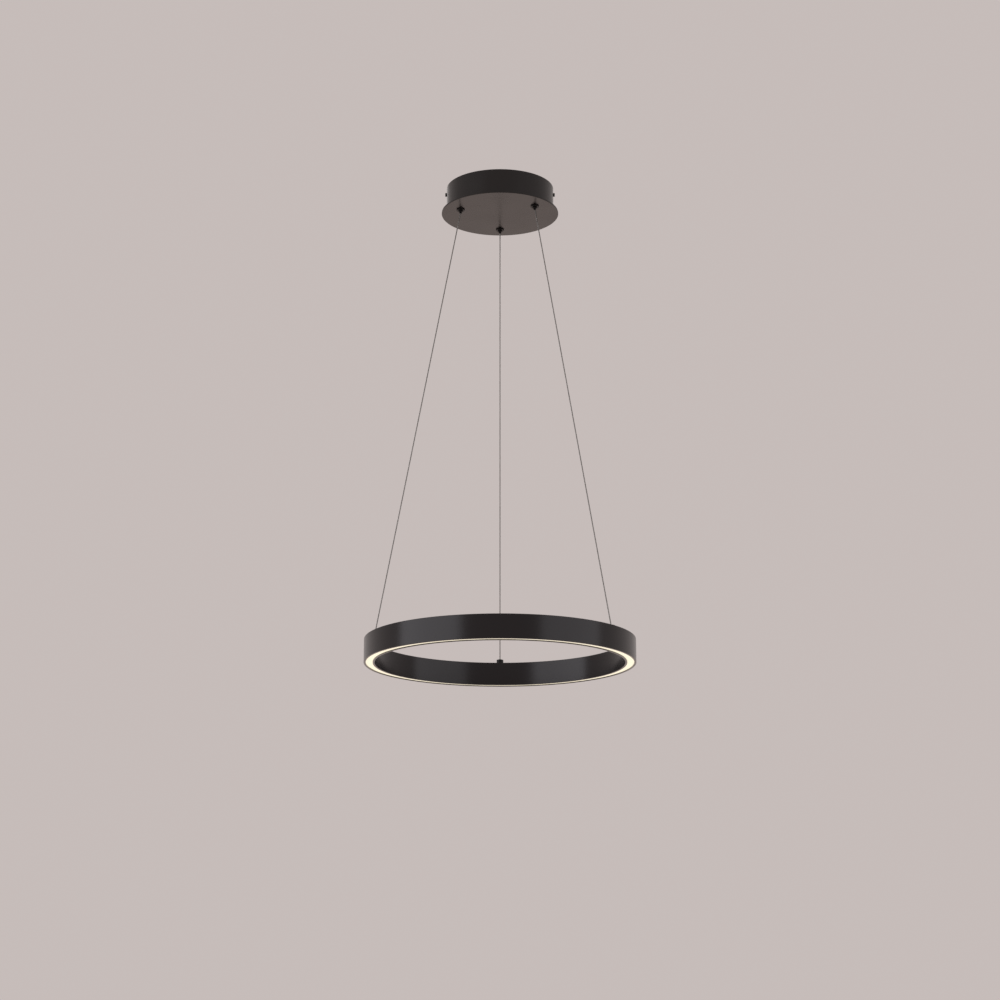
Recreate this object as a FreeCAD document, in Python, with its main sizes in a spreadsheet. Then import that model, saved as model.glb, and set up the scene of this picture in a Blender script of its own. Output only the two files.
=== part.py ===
import FreeCAD, Part

import math
import os

import Sketcher

# A ring-shaped pendant light that hangs from a round ceiling canopy on three thin steel wires.
# Lengths are in millimetres and angles in degrees. The origin is on the ceiling plane, on the
# canopy's axis: +Z up, -Y towards the side that faces the room, +X to the right.

# Lengths that drive the whole light
LENGTHS = {
    # Canopy: a deep cup on the ceiling with a thin, wider disc clamped under it
    "canopy_height": 41,
    "cup_radius": 82.5,
    "cup_wall": 1.2,
    "cup_floor": 1.2,
    "cup_edge_chamfer": 0.4,
    "plate_overhang": 7.5,
    "plate_thickness": 2,
    "plate_edge_chamfer": 0.4,
    # Ceiling bracket: a steel strip whose ends are bent down inside the cup
    "bracket_width": 22,
    "bracket_thickness": 1.5,
    "bracket_bend_radius": 1.5,
    "bracket_side_gap": 0.4,
    "tab_depth": 15,
    "slot_spacing": 84,
    "slot_length": 24,
    "slot_width": 4.6,
    "supply_hole_radius": 5,
    "earth_hole_place": 20,
    # Side screws through the cup's wall into the bracket
    "side_screw_drop": 8.5,
    "side_screw_radius": 2,
    "side_screw_length": 11,
    "side_screw_head_radius": 2.8,
    "side_screw_head_height": 2.2,
    "side_screw_slot_width": 0.8,
    "side_screw_slot_depth": 0.8,
    # Earth screw under the bracket
    "earth_screw_radius": 2,
    "earth_head_radius": 3.8,
    "earth_head_height": 2.4,
    # Wires' holders, measured in from the cup's wall, and how far the ring hangs below them
    "gripper_inset": 18.5,
    "drop": 668.6,
    # Suspension wires
    "wire_radius": 0.75,
    "wire_bend_radius": 12,
    "wire_tail": 5,
    # Cable gripper, measured from the plate's lower face
    "collar_radius": 6.4,
    "collar_height": 1,
    "barrel_radius": 3.5,
    "barrel_height": 2.2,
    "gripper_edge_chamfer": 0.3,
    "stud_radius": 4,
    "stud_top": 16,
    "nose_radius": 1.9,
    "nose_rest": 0.4,
    "nose_bore_depth": 3,
    "cage_lip": 1.2,
    "sleeve_bore_radius": 0.95,
    "mouth_radius": 1.45,
    "mouth_depth": 3,
    "ball_seat_height": 4,
    "taper_height": 10,
    "plug_height": 3,
    "ball_radius": 1,
    "release_travel": 1.8,
    "spring_radius": 1.75,
    "spring_wire_radius": 0.25,
    # Insulation, nut and lug of a gripper
    "bush_flange_radius": 5.8,
    "bush_flange_height": 0.8,
    "bush_wall": 0.7,
    "washer_radius": 7,
    "washer_thickness": 1,
    "gripper_nut_flats": 13,
    "gripper_nut_height": 4,
    "lug_radius": 6.5,
    "lug_thickness": 0.8,
    "lug_reach": 11,
    "lug_tongue_width": 3.2,
    "lug_barrel_radius": 1.7,
    "lug_barrel_height": 6,
    # Ring: an extrusion shaped like an upturned channel, rolled to a circle
    "ring_radius": 200,
    "ring_width": 16.2,
    "ring_height": 35,
    "ring_wall": 2.9,
    "ring_web": 2.4,
    "ring_edge_chamfer": 0.4,
    "rib_drop": 12,
    "rib_height": 1.2,
    "rib_reach": 1.2,
    "bead_height": 0.6,
    "bead_reach": 0.3,
    "groove_depth": 0.6,
    "groove_height": 1.4,
    # Diffuser: an opal channel that snaps in from below
    "diffuser_recess": 1.2,
    "diffuser_thickness": 1.5,
    "diffuser_leg_height": 5,
    "diffuser_leg_thickness": 1,
    "snap_reach": 0.4,
    "snap_height": 1,
    # Light boards on the underside of the ribs
    "board_thickness": 1.6,
    "board_gap": 1.2,
    "chip_length": 3.5,
    "chip_width": 2.8,
    "chip_height": 0.8,
    # Hangers on top of the ring, measured from its top: the rear head is tall, the front two are low
    "hanger_head_radius": 5.2,
    "tall_head_height": 4.9,
    "low_head_height": 0.9,
    "hanger_boss_radius": 2.6,
    "hanger_boss_height": 0.6,
    "hanger_shank_radius": 2.5,
    "hanger_shank_length": 8,
    "hanger_bore_radius": 1.8,
    "hanger_throat_radius": 1.25,
    "hanger_mouth_radius": 2.1,
    "hanger_mouth_depth": 1.8,
    "hanger_bush_height": 0.8,
    "hanger_bush_wall": 0.5,
    "hanger_washer_radius": 4.2,
    "hanger_washer_thickness": 0.8,
    "hanger_nut_flats": 8,
    "hanger_nut_height": 3,
    "hanger_lug_thickness": 0.5,
    "hanger_lug_reach": 9,
    "hanger_lug_barrel_radius": 1.4,
    "hanger_lug_barrel_height": 4,
    "ball_end_radius": 1.7,
    # Driver on the cup's floor
    "driver_x": -3,
    "driver_y": -1,
    "driver_width": 36,
    "driver_wall": 1.6,
    "driver_tray_height": 6,
    "driver_ear_length": 9,
    "driver_ear_width": 10,
    "driver_ear_height": 3,
    "board_post_radius": 2,
    "board_post_height": 2.4,
    "board_side_gap": 1,
    "driver_terminal_length": 9,
    "driver_terminal_width": 14,
    "driver_terminal_height": 8,
    "driver_pole_offset": 3.5,
    "driver_pole_radius": 1.2,
    "driver_pole_depth": 5,
    "driver_part_height": 12,
    "driver_part_gap": 1,
    "lid_gap": 0.8,
    "cover_end_gap": 0.4,
    "core_length": 18,
    "core_depth": 8,
    "core_leg": 5,
    "core_yoke": 3,
    "winding_gap": 0.3,
    "capacitor_radius": 4.5,
    "capacitor_pitch": 12,
    "choke_radius": 4,
    "choke_section_radius": 2,
    # Weld studs on the cup's floor and their nuts
    "weld_stud_radius": 1.5,
    "stud_end": 1.6,
    "stud_nut_flats": 5.5,
    "stud_nut_height": 2.4,
    # Mains terminal block
    "mains_x": -30,
    "mains_y": 40,
    "mains_length": 32,
    "mains_width": 16,
    "mains_height": 12,
    "mains_pitch": 10,
    "mains_entry_height": 4.5,
    "mains_entry_radius": 1.8,
    "mains_screw_radius": 1.6,
    "mains_screw_depth": 1,
    # Insulated leads
    "lead_radius": 0.9,
    "lead_bend_radius": 2.5,
    "lead_insertion": 4,
    "lead_side_run": 6,
    "lead_over_cover": 2.2,
    "lead_beside_cover": 4,
    # Fits
    "running_clearance": 0.1,
    "thread_clearance": 0.05,
    "screw_hole_clearance": 0.25,
    "slide_clearance": 0.15,
    "grip_clearance": 0.03,
    "cut_overrun": 2,
}

ANGLES = {
    "taper_angle": 3.4,
    "rear_angle": 90,
    "left_angle": 199.2,
    "right_angle": 326.2,
}

COUNTS = {
    "chips_per_board": 30,
    "spring_turns": 5,
    "steps_per_turn": 10,
    "ball_count": 3,
    "board_count": 4,
}

# A release sleeve's windows are a little wider than the balls that they hold
WINDOW_SHARE = 1.05

# A sketch's numbers for the ends and centre of a curve, and for its own two axes
START, END, CENTRE = range(1, 4)
UPRIGHT, ACROSS = range(-2, 0)
ORIGIN = ACROSS
ORIGIN_NAMES = {"x": "YZ_Plane", "y": "XZ_Plane", "z": "XY_Plane"}

doc = FreeCAD.newDocument("PendantLight")


class Size:
    """A number together with the sheet expression that gives it."""

    def __init__(self, value, text):
        self.value = value
        self.text = text

    def __add__(self, other):
        return Size(self.value + as_size(other).value, f"({self.text} + {as_size(other).text})")

    def __sub__(self, other):
        return Size(self.value - as_size(other).value, f"({self.text} - {as_size(other).text})")

    def __mul__(self, other):
        return Size(self.value * as_size(other).value, f"({self.text} * {as_size(other).text})")

    def __truediv__(self, other):
        return Size(self.value / as_size(other).value, f"({self.text} / {as_size(other).text})")

    def __neg__(self):
        return Size(-self.value, f"(-{self.text})")

    def __radd__(self, other):
        return as_size(other) + self

    def __rsub__(self, other):
        return as_size(other) - self

    def __rmul__(self, other):
        return as_size(other) * self


def as_size(number):
    return number if isinstance(number, Size) else Size(number, repr(number))


def root(size):
    return Size(math.sqrt(size.value), f"sqrt({size.text})")


def cosine(angle):
    return Size(math.cos(math.radians(angle.value)), f"cos({angle.text})")


def sine(angle):
    return Size(math.sin(math.radians(angle.value)), f"sin({angle.text})")


def tangent(angle):
    return Size(math.tan(math.radians(angle.value)), f"tan({angle.text})")


def arc_tangent(ratio):
    return Size(math.degrees(math.atan(ratio.value)), f"atan({ratio.text})")


def arc_sine(ratio):
    return Size(math.degrees(math.asin(ratio.value)), f"asin({ratio.text})")


class Sheet:
    """The spreadsheet, with each alias readable as a Size."""

    def __init__(self, name):
        self.cells = doc.addObject("Spreadsheet::Sheet", name)
        rows = [(alias, number, "") for alias, number in {**LENGTHS, **COUNTS}.items()]
        rows += [(alias, number, " * 1 deg") for alias, number in ANGLES.items()]
        for row, (alias, number, unit) in enumerate(rows, 1):
            self.cells.set(f"A{row}", alias)
            self.cells.set(f"B{row}", str(number))
            self.cells.setAlias(f"B{row}", alias)
            setattr(self, alias, Size(number, f"({name}.{alias}{unit})"))


def bind(thing, path, size):
    thing.setExpression(path, as_size(size).text)


def origin_feature(body, role):
    return next(feature for feature in body.Origin.OriginFeatures if feature.Role == role)


def point_at(x, y, z=0):
    return FreeCAD.Vector(as_size(x).value, as_size(y).value, as_size(z).value)


def new_body(label, many=False):
    """A body, which may hold several separate solids when it is a group."""
    body = doc.addObject("PartDesign::Body", label)
    body.Label = label
    body.AllowCompound = many
    return body


def place(thing, x=0, y=0, z=0, turn=0):
    """Puts a sub-part at a point, turned about the vertical."""
    for axis, size in zip("xyz", (x, y, z)):
        bind(thing, f".Placement.Base.{axis}", size)
    bind(thing, ".Placement.Rotation.Angle", turn)
    return thing


class Drawing:
    """A sketch on one of a body's own planes, with every point held by the sheet."""

    def __init__(self, body, normal, height=0, turn=0, shift=(0, 0)):
        self.sketch = body.newObject("Sketcher::SketchObject", f"{body.Label}_sketch")
        self.sketch.AttachmentSupport = [(origin_feature(body, ORIGIN_NAMES[normal]), "")]
        self.sketch.MapMode = "FlatFace"
        bind(self.sketch, "AttachmentOffset.Base.x", shift[0])
        bind(self.sketch, "AttachmentOffset.Base.y", shift[1])
        bind(self.sketch, "AttachmentOffset.Base.z", height)
        bind(self.sketch, "AttachmentOffset.Rotation.Angle", turn)

    def add(self, curve):
        return self.sketch.addGeometry(curve)

    def join(self, first, second):
        self.sketch.addConstraint(Sketcher.Constraint("Coincident", first, END, second, START))

    def hold(self, kind, axis, curve, end, size):
        if as_size(size).text == "0":
            self.sketch.addConstraint(Sketcher.Constraint("PointOnObject", curve, end, axis))
            return
        limit = Sketcher.Constraint(kind, ORIGIN, START, curve, end, size.value)
        bind(self.sketch, f"Constraints[{self.sketch.addConstraint(limit)}]", size)

    def pin(self, curve, end, x, y):
        self.hold("DistanceX", UPRIGHT, curve, end, x)
        self.hold("DistanceY", ACROSS, curve, end, y)

    def radius(self, curve, size):
        index = self.sketch.addConstraint(Sketcher.Constraint("Radius", curve, size.value))
        bind(self.sketch, f"Constraints[{index}]", size)

    def outline(self, points):
        """A closed outline of straight sides."""
        corners = [point_at(x, y) for x, y in points]
        sides = [self.add(Part.LineSegment(a, b)) for a, b in zip(corners, corners[1:] + corners[:1])]
        for side, following in zip(sides, sides[1:] + sides[:1]):
            self.join(side, following)
        for side, (x, y) in zip(sides, points):
            self.pin(side, START, x, y)
        return self

    def box(self, x, y, length, width):
        """A rectangle about a centre."""
        left, right = x - length / 2, x + length / 2
        low, high = y - width / 2, y + width / 2
        return self.outline([(left, low), (right, low), (right, high), (left, high)])

    def circle(self, x, y, radius):
        curve = self.add(Part.Circle(point_at(x, y), point_at(0, 0, 1), radius.value))
        self.pin(curve, CENTRE, x, y)
        self.radius(curve, radius)
        return self

    def slot(self, x, y, length, width):
        """A slot along X with round ends."""
        radius = width / 2
        reach = (length - width) / 2
        left, right, low, high = x - reach, x + reach, y - radius, y + radius
        bottom = self.add(Part.LineSegment(point_at(left, low), point_at(right, low)))
        right_end = self.add_arc(right, y, radius, -90, 90)
        top = self.add(Part.LineSegment(point_at(right, high), point_at(left, high)))
        left_end = self.add_arc(left, y, radius, 90, 270)
        loop = (bottom, right_end, top, left_end)
        for curve, following in zip(loop, loop[1:] + loop[:1]):
            self.join(curve, following)
        for arc, middle in ((right_end, right), (left_end, left)):
            self.pin(arc, CENTRE, middle, y)
            self.radius(arc, radius)
            for end in (START, END):
                self.sketch.addConstraint(Sketcher.Constraint("Vertical", arc, CENTRE, arc, end))
        return self

    def add_arc(self, x, y, radius, first, last):
        circle = Part.Circle(point_at(x, y), point_at(0, 0, 1), as_size(radius).value)
        return self.add(Part.ArcOfCircle(circle, math.radians(first), math.radians(last)))


def feature_of(body, kind, drawing):
    feature = body.newObject(f"PartDesign::{kind}", f"{body.Label}_{kind.lower()}")
    feature.Profile = drawing.sketch
    return feature


def pad(body, drawing, length, both=False):
    feature = feature_of(body, "Pad", drawing)
    bind(feature, "Length", length)
    feature.SideType = "Symmetric" if both else "One side"
    return feature


def revolve(body, drawing, axis="V_Axis"):
    feature = feature_of(body, "Revolution", drawing)
    feature.ReferenceAxis = (drawing.sketch, [axis])
    feature.Angle = 360
    return feature


def sweep(body, profile, path):
    feature = feature_of(body, "AdditivePipe", profile)
    feature.Spine = path.sketch
    return feature


def cut_is_real(body, feature, before):
    doc.recompute()
    if not before - body.Shape.Volume > 0:
        raise ValueError(f"{feature.Name} takes nothing away")
    return feature


def pocket(body, drawing, depth=None, upward=False):
    """A cut downward from the drawing, upward when asked, or right through with no depth."""
    doc.recompute()
    before = body.Shape.Volume
    feature = feature_of(body, "Pocket", drawing)
    if depth is None:
        feature.Type = "ThroughAll"
        feature.SideType = "Symmetric"
    else:
        bind(feature, "Length", depth)
        feature.Reversed = upward
    return cut_is_real(body, feature, before)


def repeat(body, feature, count, axis="Z_Axis"):
    """The feature's copies evenly round an axis."""
    pattern = body.newObject("PartDesign::PolarPattern", f"{body.Label}_pattern")
    pattern.Originals = [feature]
    pattern.Axis = (origin_feature(body, axis), [""])
    pattern.Angle = 360
    bind(pattern, "Occurrences", count)
    body.Tip = pattern
    doc.recompute()
    return pattern


def edges_where(shape, test):
    return [f"Edge{number}" for number, edge in enumerate(shape.Edges, 1) if test(edge)]


def finish_edges(body, kind, size, test):
    """A chamfer or fillet on the edges that the test picks from the body's shape."""
    doc.recompute()
    base = body.Tip
    picked = edges_where(body.Tip.Shape, test)
    if not picked:
        raise ValueError(f"{body.Label} has no edge to {kind.lower()}")
    feature = body.newObject(f"PartDesign::{kind}", f"{body.Label}_{kind.lower()}")
    feature.Base = (base, picked)
    bind(feature, "Size" if kind == "Chamfer" else "Radius", size)
    doc.recompute()
    return feature


def is_circle_at(radius, height):
    """Picks the round edges of one radius at one height."""

    def test(edge):
        near = FreeCAD.Base.Precision.confusion() * 100
        return (
            isinstance(edge.Curve, Part.Circle)
            and abs(edge.Curve.Radius - radius.value) < near
            and abs(edge.Curve.Center.z - as_size(height).value) < near
        )

    return test


def from_point(x, y, angle, forward, aside=0):
    """The point a distance forward along an angle, and a distance to its left."""
    forward_x = x + forward * cosine(angle) - aside * sine(angle)
    forward_y = y + forward * sine(angle) + aside * cosine(angle)
    return forward_x, forward_y


def hexagon(x, y, flats, turn):
    """Corners of a hexagon with two flats square to an angle."""
    corner = flats / root(as_size(3))
    angles = [turn + Size(step, f"{step} deg") for step in range(30, 390, 60)]
    return [from_point(x, y, angle, corner) for angle in angles]


dims = Sheet("Dims")

WIRE_ANGLES = {"left": dims.left_angle, "right": dims.right_angle, "rear": dims.rear_angle}
# The two wires that also carry the low voltage
LIVE_SIDES = ("right", "rear")
LOW_SIDES = ("left", "right")
THIRD_TURNS = [Size(step, f"{step} deg") for step in (0, 120, 240)]


# Heights and radii that several pieces share
plate_face = -dims.canopy_height
cup_base = plate_face + dims.plate_thickness
floor_top = cup_base + dims.cup_floor
cup_inner_radius = dims.cup_radius - dims.cup_wall
plate_radius = dims.cup_radius + dims.plate_overhang
gripper_place_radius = dims.cup_radius - dims.gripper_inset
ring_top = plate_face - dims.drop
ring_inner_radius = dims.ring_radius - dims.ring_width
channel_outer_radius = dims.ring_radius - dims.ring_wall
channel_inner_radius = ring_inner_radius + dims.ring_wall
channel_radius = (channel_outer_radius + channel_inner_radius) / 2
hanger_place_radius = channel_inner_radius + dims.hanger_washer_radius + dims.slide_clearance * 2

bush_outer_radius = dims.stud_radius + dims.running_clearance + dims.bush_wall
stud_hole_radius = dims.stud_radius + dims.running_clearance
bush_hole_radius = bush_outer_radius + dims.running_clearance
clamp_floor = dims.plate_thickness + dims.cup_floor
lug_base = clamp_floor + dims.washer_thickness

hanger_hole_radius = dims.hanger_shank_radius + dims.running_clearance
hanger_bush_radius = hanger_hole_radius + dims.hanger_bush_wall
web_hole_radius = hanger_bush_radius + dims.running_clearance


def at_gripper(side, forward=0):
    radius = gripper_place_radius - forward
    return radius * cosine(WIRE_ANGLES[side]), radius * sine(WIRE_ANGLES[side])


def at_hanger(side, forward=0, aside=0):
    return from_point(as_size(0), as_size(0), WIRE_ANGLES[side], hanger_place_radius + forward, aside)


# Canopy


def driver_stud_places():
    reach = (driver_length + dims.driver_ear_length) / 2
    return [(dims.driver_x + side * reach, dims.driver_y) for side in (-1, 1)]


def mains_stud_places():
    return [(dims.mains_x + side * dims.mains_pitch / 2, dims.mains_y) for side in (-1, 1)]


def build_canopy_cup():
    """The pressed cup, with its weld studs and the holes for grippers and side screws."""
    body = new_body("canopy_cup")
    wall = Drawing(body, "y").outline([
        (0, cup_base), (dims.cup_radius, cup_base), (dims.cup_radius, 0),
        (cup_inner_radius, 0), (cup_inner_radius, floor_top), (0, floor_top),
    ])
    revolve(body, wall)
    root_depth = dims.cup_floor / 2
    for places, seat in (
        (driver_stud_places(), dims.driver_ear_height), (mains_stud_places(), dims.mains_height),
    ):
        studs = Drawing(body, "z", floor_top - root_depth)
        for x, y in places:
            studs.circle(x, y, dims.weld_stud_radius)
        pad(body, studs, root_depth + seat + dims.stud_nut_height + dims.stud_end)
    holes = Drawing(body, "z", floor_top)
    for side in WIRE_ANGLES:
        holes.circle(*at_gripper(side), bush_hole_radius)
    pocket(body, holes, dims.cup_floor + dims.cut_overrun)
    screws = Drawing(body, "x").circle(0, -dims.side_screw_drop, screw_hole_radius())
    pocket(body, screws)
    finish_edges(body, "Chamfer", dims.cup_edge_chamfer, is_circle_at(dims.cup_radius, cup_base))
    return body


def screw_hole_radius():
    return dims.side_screw_radius + dims.screw_hole_clearance


def build_canopy_plate():
    """The thin disc that closes the canopy to the eye."""
    body = new_body("canopy_plate")
    disc = Drawing(body, "z").circle(0, 0, plate_radius)
    for side in WIRE_ANGLES:
        disc.circle(*at_gripper(side), bush_hole_radius)
    pad(body, disc, dims.plate_thickness)
    finish_edges(body, "Chamfer", dims.plate_edge_chamfer, is_circle_at(plate_radius, 0))
    return place(body, z=plate_face)


def tab_face():
    """How far out the bracket's tabs stand, so that their corners clear the cup."""
    half_width = dims.bracket_width / 2
    return root(cup_inner_radius * cup_inner_radius - half_width * half_width) - dims.bracket_side_gap


def is_cross_edge_at(x, z):
    """Picks the straight edges along Y at one distance to either side and one height."""
    near = dims.running_clearance.value

    def test(edge):
        middle = edge.CenterOfMass
        aside = abs(abs(middle.x) - x.value) + abs(middle.y) + abs(middle.z - z.value)
        return isinstance(edge.Curve, Part.Line) and aside < near

    return test


def build_ceiling_bracket():
    """The folded strip that is screwed to the ceiling."""
    body = new_body("ceiling_bracket")
    outer, thick, deep = tab_face(), dims.bracket_thickness, dims.tab_depth
    fold = Drawing(body, "y").outline([
        (-outer, 0), (-outer, -deep), (thick - outer, -deep), (thick - outer, -thick),
        (outer - thick, -thick), (outer - thick, -deep), (outer, -deep), (outer, 0),
    ])
    pad(body, fold, dims.bracket_width, both=True)
    slots = Drawing(body, "z")
    for side in (-1, 1):
        slots.slot(side * dims.slot_spacing / 2, as_size(0), dims.slot_length, dims.slot_width)
    slots.circle(0, 0, dims.supply_hole_radius)
    slots.circle(dims.earth_hole_place, 0, dims.earth_screw_radius + dims.thread_clearance)
    pocket(body, slots, dims.bracket_thickness + dims.cut_overrun)
    threads = Drawing(body, "x")
    threads.circle(0, -dims.side_screw_drop, dims.side_screw_radius + dims.thread_clearance)
    pocket(body, threads)

    finish_edges(body, "Fillet", dims.bracket_bend_radius, is_cross_edge_at(outer - thick, -thick))
    finish_edges(body, "Fillet", dims.bracket_bend_radius + thick, is_cross_edge_at(outer, as_size(0)))
    return body


def build_side_screw(label, turn):
    """A round-headed slotted screw along X, from outside the cup into the bracket's tab."""
    body = new_body(label)
    head_face = dims.cup_radius + dims.side_screw_head_height
    tip = head_face - dims.side_screw_head_height - dims.side_screw_length
    shape = Drawing(body, "y").outline([
        (tip, 0), (tip, dims.side_screw_radius), (dims.cup_radius, dims.side_screw_radius),
        (dims.cup_radius, dims.side_screw_head_radius), (head_face, dims.side_screw_head_radius),
        (head_face, 0),
    ])
    revolve(body, shape, "H_Axis")
    slot_depth, slot_width = dims.side_screw_slot_depth, dims.side_screw_slot_width
    pocket(body, Drawing(body, "z").box(head_face, as_size(0), slot_depth * 2, slot_width))
    return place(body, z=-dims.side_screw_drop, turn=turn)


def build_earth_screw():
    """The screw that holds the earth lead's lug under the bracket."""
    body = new_body("earth_screw")
    under = -dims.bracket_thickness - dims.lug_thickness
    top = -dims.running_clearance
    low = under - dims.earth_head_height
    shape = Drawing(body, "y").outline([
        (0, low), (dims.earth_head_radius, low), (dims.earth_head_radius, under),
        (dims.earth_screw_radius, under), (dims.earth_screw_radius, top), (0, top),
    ])
    revolve(body, shape)
    return place(body, x=dims.earth_hole_place)


# Cable grippers

collar_face = -dims.bush_flange_height - dims.collar_height
barrel_face = collar_face - dims.barrel_height
nose_face = barrel_face - dims.release_travel - dims.nose_rest
taper_base = barrel_face + dims.nose_bore_depth
ball_height = taper_base + dims.ball_seat_height
ball_centre_radius = dims.wire_radius + dims.ball_radius + dims.grip_clearance
taper_seat_radius = ball_centre_radius + dims.ball_radius + dims.grip_clearance * 2
taper_narrow_radius = taper_seat_radius - dims.ball_seat_height * tangent(dims.taper_angle)
taper_wide_radius = taper_narrow_radius + dims.taper_height * tangent(dims.taper_angle)
cage_radius = taper_narrow_radius - dims.slide_clearance
cage_top = ball_height + dims.ball_radius + dims.cage_lip
plug_base = dims.stud_top - dims.plug_height
plug_radius = taper_wide_radius - dims.thread_clearance


def build_gripper_body(side):
    """Collar, barrel and threaded stud in one, with the taper that wedges the balls."""
    body = new_body(f"gripper_body_{side}")
    nose_bore = dims.nose_radius + dims.running_clearance
    taper_top = taper_base + dims.taper_height
    shape = Drawing(body, "y").outline([
        (nose_bore, barrel_face), (dims.barrel_radius, barrel_face), (dims.barrel_radius, collar_face),
        (dims.collar_radius, collar_face), (dims.collar_radius, -dims.bush_flange_height),
        (dims.stud_radius, -dims.bush_flange_height), (dims.stud_radius, dims.stud_top),
        (taper_wide_radius, dims.stud_top), (taper_wide_radius, taper_top),
        (taper_narrow_radius, taper_base), (nose_bore, taper_base),
    ])
    revolve(body, shape)
    for radius, height in ((dims.collar_radius, collar_face), (dims.barrel_radius, barrel_face)):
        finish_edges(body, "Chamfer", dims.gripper_edge_chamfer, is_circle_at(radius, height))
    return place(body, *at_gripper(side), plate_face, WIRE_ANGLES[side])


def build_release_sleeve(side):
    """The nose that is pressed up to free the wire, with the ball cage on top of it."""
    body = new_body(f"release_sleeve_{side}")
    shape = Drawing(body, "y").outline([
        (dims.mouth_radius, nose_face), (dims.nose_radius, nose_face), (dims.nose_radius, taper_base),
        (cage_radius, taper_base), (cage_radius, cage_top), (dims.sleeve_bore_radius, cage_top),
        (dims.sleeve_bore_radius, nose_face + dims.mouth_depth),
    ])
    revolve(body, shape)
    window = Drawing(body, "x", 0).circle(0, ball_height, dims.ball_radius * WINDOW_SHARE)
    doc.recompute()
    before = body.Shape.Volume
    opening = feature_of(body, "Pocket", window)
    bind(opening, "Length", cage_radius + dims.cut_overrun)
    opening.Reversed = True
    cut_is_real(body, opening, before)
    repeat(body, opening, dims.ball_count)
    return place(body, *at_gripper(side), plate_face, WIRE_ANGLES[side])


def build_gripper_balls(side):
    """Three steel balls in the cage's windows, between the wire and the taper."""
    balls = []
    for turn in THIRD_TURNS:
        ball = doc.addObject("Part::Sphere", f"ball_{side}")
        bind(ball, "Radius", dims.ball_radius)
        place(ball, *from_point(as_size(0), as_size(0), turn, ball_centre_radius), ball_height)
        balls.append(ball)
    group = doc.addObject("Part::Compound", f"gripper_balls_{side}")
    group.Links = balls
    group.Label = f"gripper_balls_{side}"
    return place(group, *at_gripper(side), plate_face, WIRE_ANGLES[side])


def coil_section(turn, pitch, low):
    """The coil's wire cut square to its run, as a hexagon, after so many turns."""
    radius, thickness = dims.spring_radius.value, dims.spring_wire_radius.value
    heading = FreeCAD.Rotation(point_at(0, 0, 1), 360 * turn)
    outward, along = heading.multVec(point_at(1, 0)), heading.multVec(point_at(0, 1))
    run = (along * 2 * math.pi * radius + point_at(0, 0, pitch)).normalize()
    across = run.cross(outward)
    middle = outward * radius + point_at(0, 0, low + pitch * turn)
    angles = [math.radians(step) for step in range(0, 360, 60)]
    corners = [
        middle + outward * thickness * math.cos(angle) + across * thickness * math.sin(angle)
        for angle in angles
    ]
    return Part.makePolygon(corners + corners[:1])


def build_gripper_spring(side):
    """The coil that presses the cage down into the taper."""
    low = (cage_top + dims.spring_wire_radius).value
    high = (plug_base - dims.spring_wire_radius - dims.grip_clearance).value
    turns, steps = dims.spring_turns.value, dims.steps_per_turn.value
    pitch = (high - low) / turns
    sections = [coil_section(step / steps, pitch, low) for step in range(turns * steps + 1)]
    spring = doc.addObject("Part::Feature", f"gripper_spring_{side}")
    spring.Label = f"gripper_spring_{side}"
    spring.Shape = Part.makeLoft(sections, True, True)
    return place(spring, *at_gripper(side), plate_face, WIRE_ANGLES[side])


def group_of_rings(label, layers):
    """One node of round pieces: each layer is a height, a depth and the rings' centres and radii."""
    body = new_body(label, many=True)
    for height, depth, rings in layers:
        drawing = Drawing(body, "z", height)
        for (x, y), outer, inner in rings:
            drawing.circle(x, y, outer)
            drawing.circle(x, y, inner)
        pad(body, drawing, depth)
    return body


def build_gripper_plugs():
    """The threaded plugs that close the studs and carry the springs."""
    rings = [(at_gripper(side), plug_radius, dims.sleeve_bore_radius) for side in WIRE_ANGLES]
    return group_of_rings("gripper_plugs", [(plate_face + plug_base, dims.plug_height, rings)])


def build_gripper_bushes():
    """Shoulder bushes that insulate the live grippers from the canopy."""
    places = [at_gripper(side) for side in WIRE_ANGLES]
    flanges = [(spot, dims.bush_flange_radius, stud_hole_radius) for spot in places]
    sleeves = [(spot, bush_outer_radius, stud_hole_radius) for spot in places]
    return group_of_rings("gripper_bushes", [
        (plate_face - dims.bush_flange_height, dims.bush_flange_height, flanges),
        (plate_face, clamp_floor, sleeves),
    ])


def build_gripper_washers():
    rings = [(at_gripper(side), dims.washer_radius, stud_hole_radius) for side in WIRE_ANGLES]
    return group_of_rings("gripper_washers", [(plate_face + clamp_floor, dims.washer_thickness, rings)])


def group_of_nuts(label, nuts):
    """One node of hexagon nuts, each a place, height, depth, width across flats, bore and turn."""
    body = new_body(label, many=True)
    for (x, y), height, depth, flats, bore, turn in nuts:
        drawing = Drawing(body, "z", height).outline(hexagon(x, y, flats, turn)).circle(x, y, bore)
        pad(body, drawing, depth)
    return body


def build_gripper_nuts():
    nuts = []
    for side, angle in WIRE_ANGLES.items():
        seat = lug_base + dims.lug_thickness if side in LIVE_SIDES else lug_base
        nuts.append((
            at_gripper(side), plate_face + seat, dims.gripper_nut_height, dims.gripper_nut_flats,
            dims.stud_radius + dims.thread_clearance, angle,
        ))
    return group_of_nuts("gripper_nuts", nuts)


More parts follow.
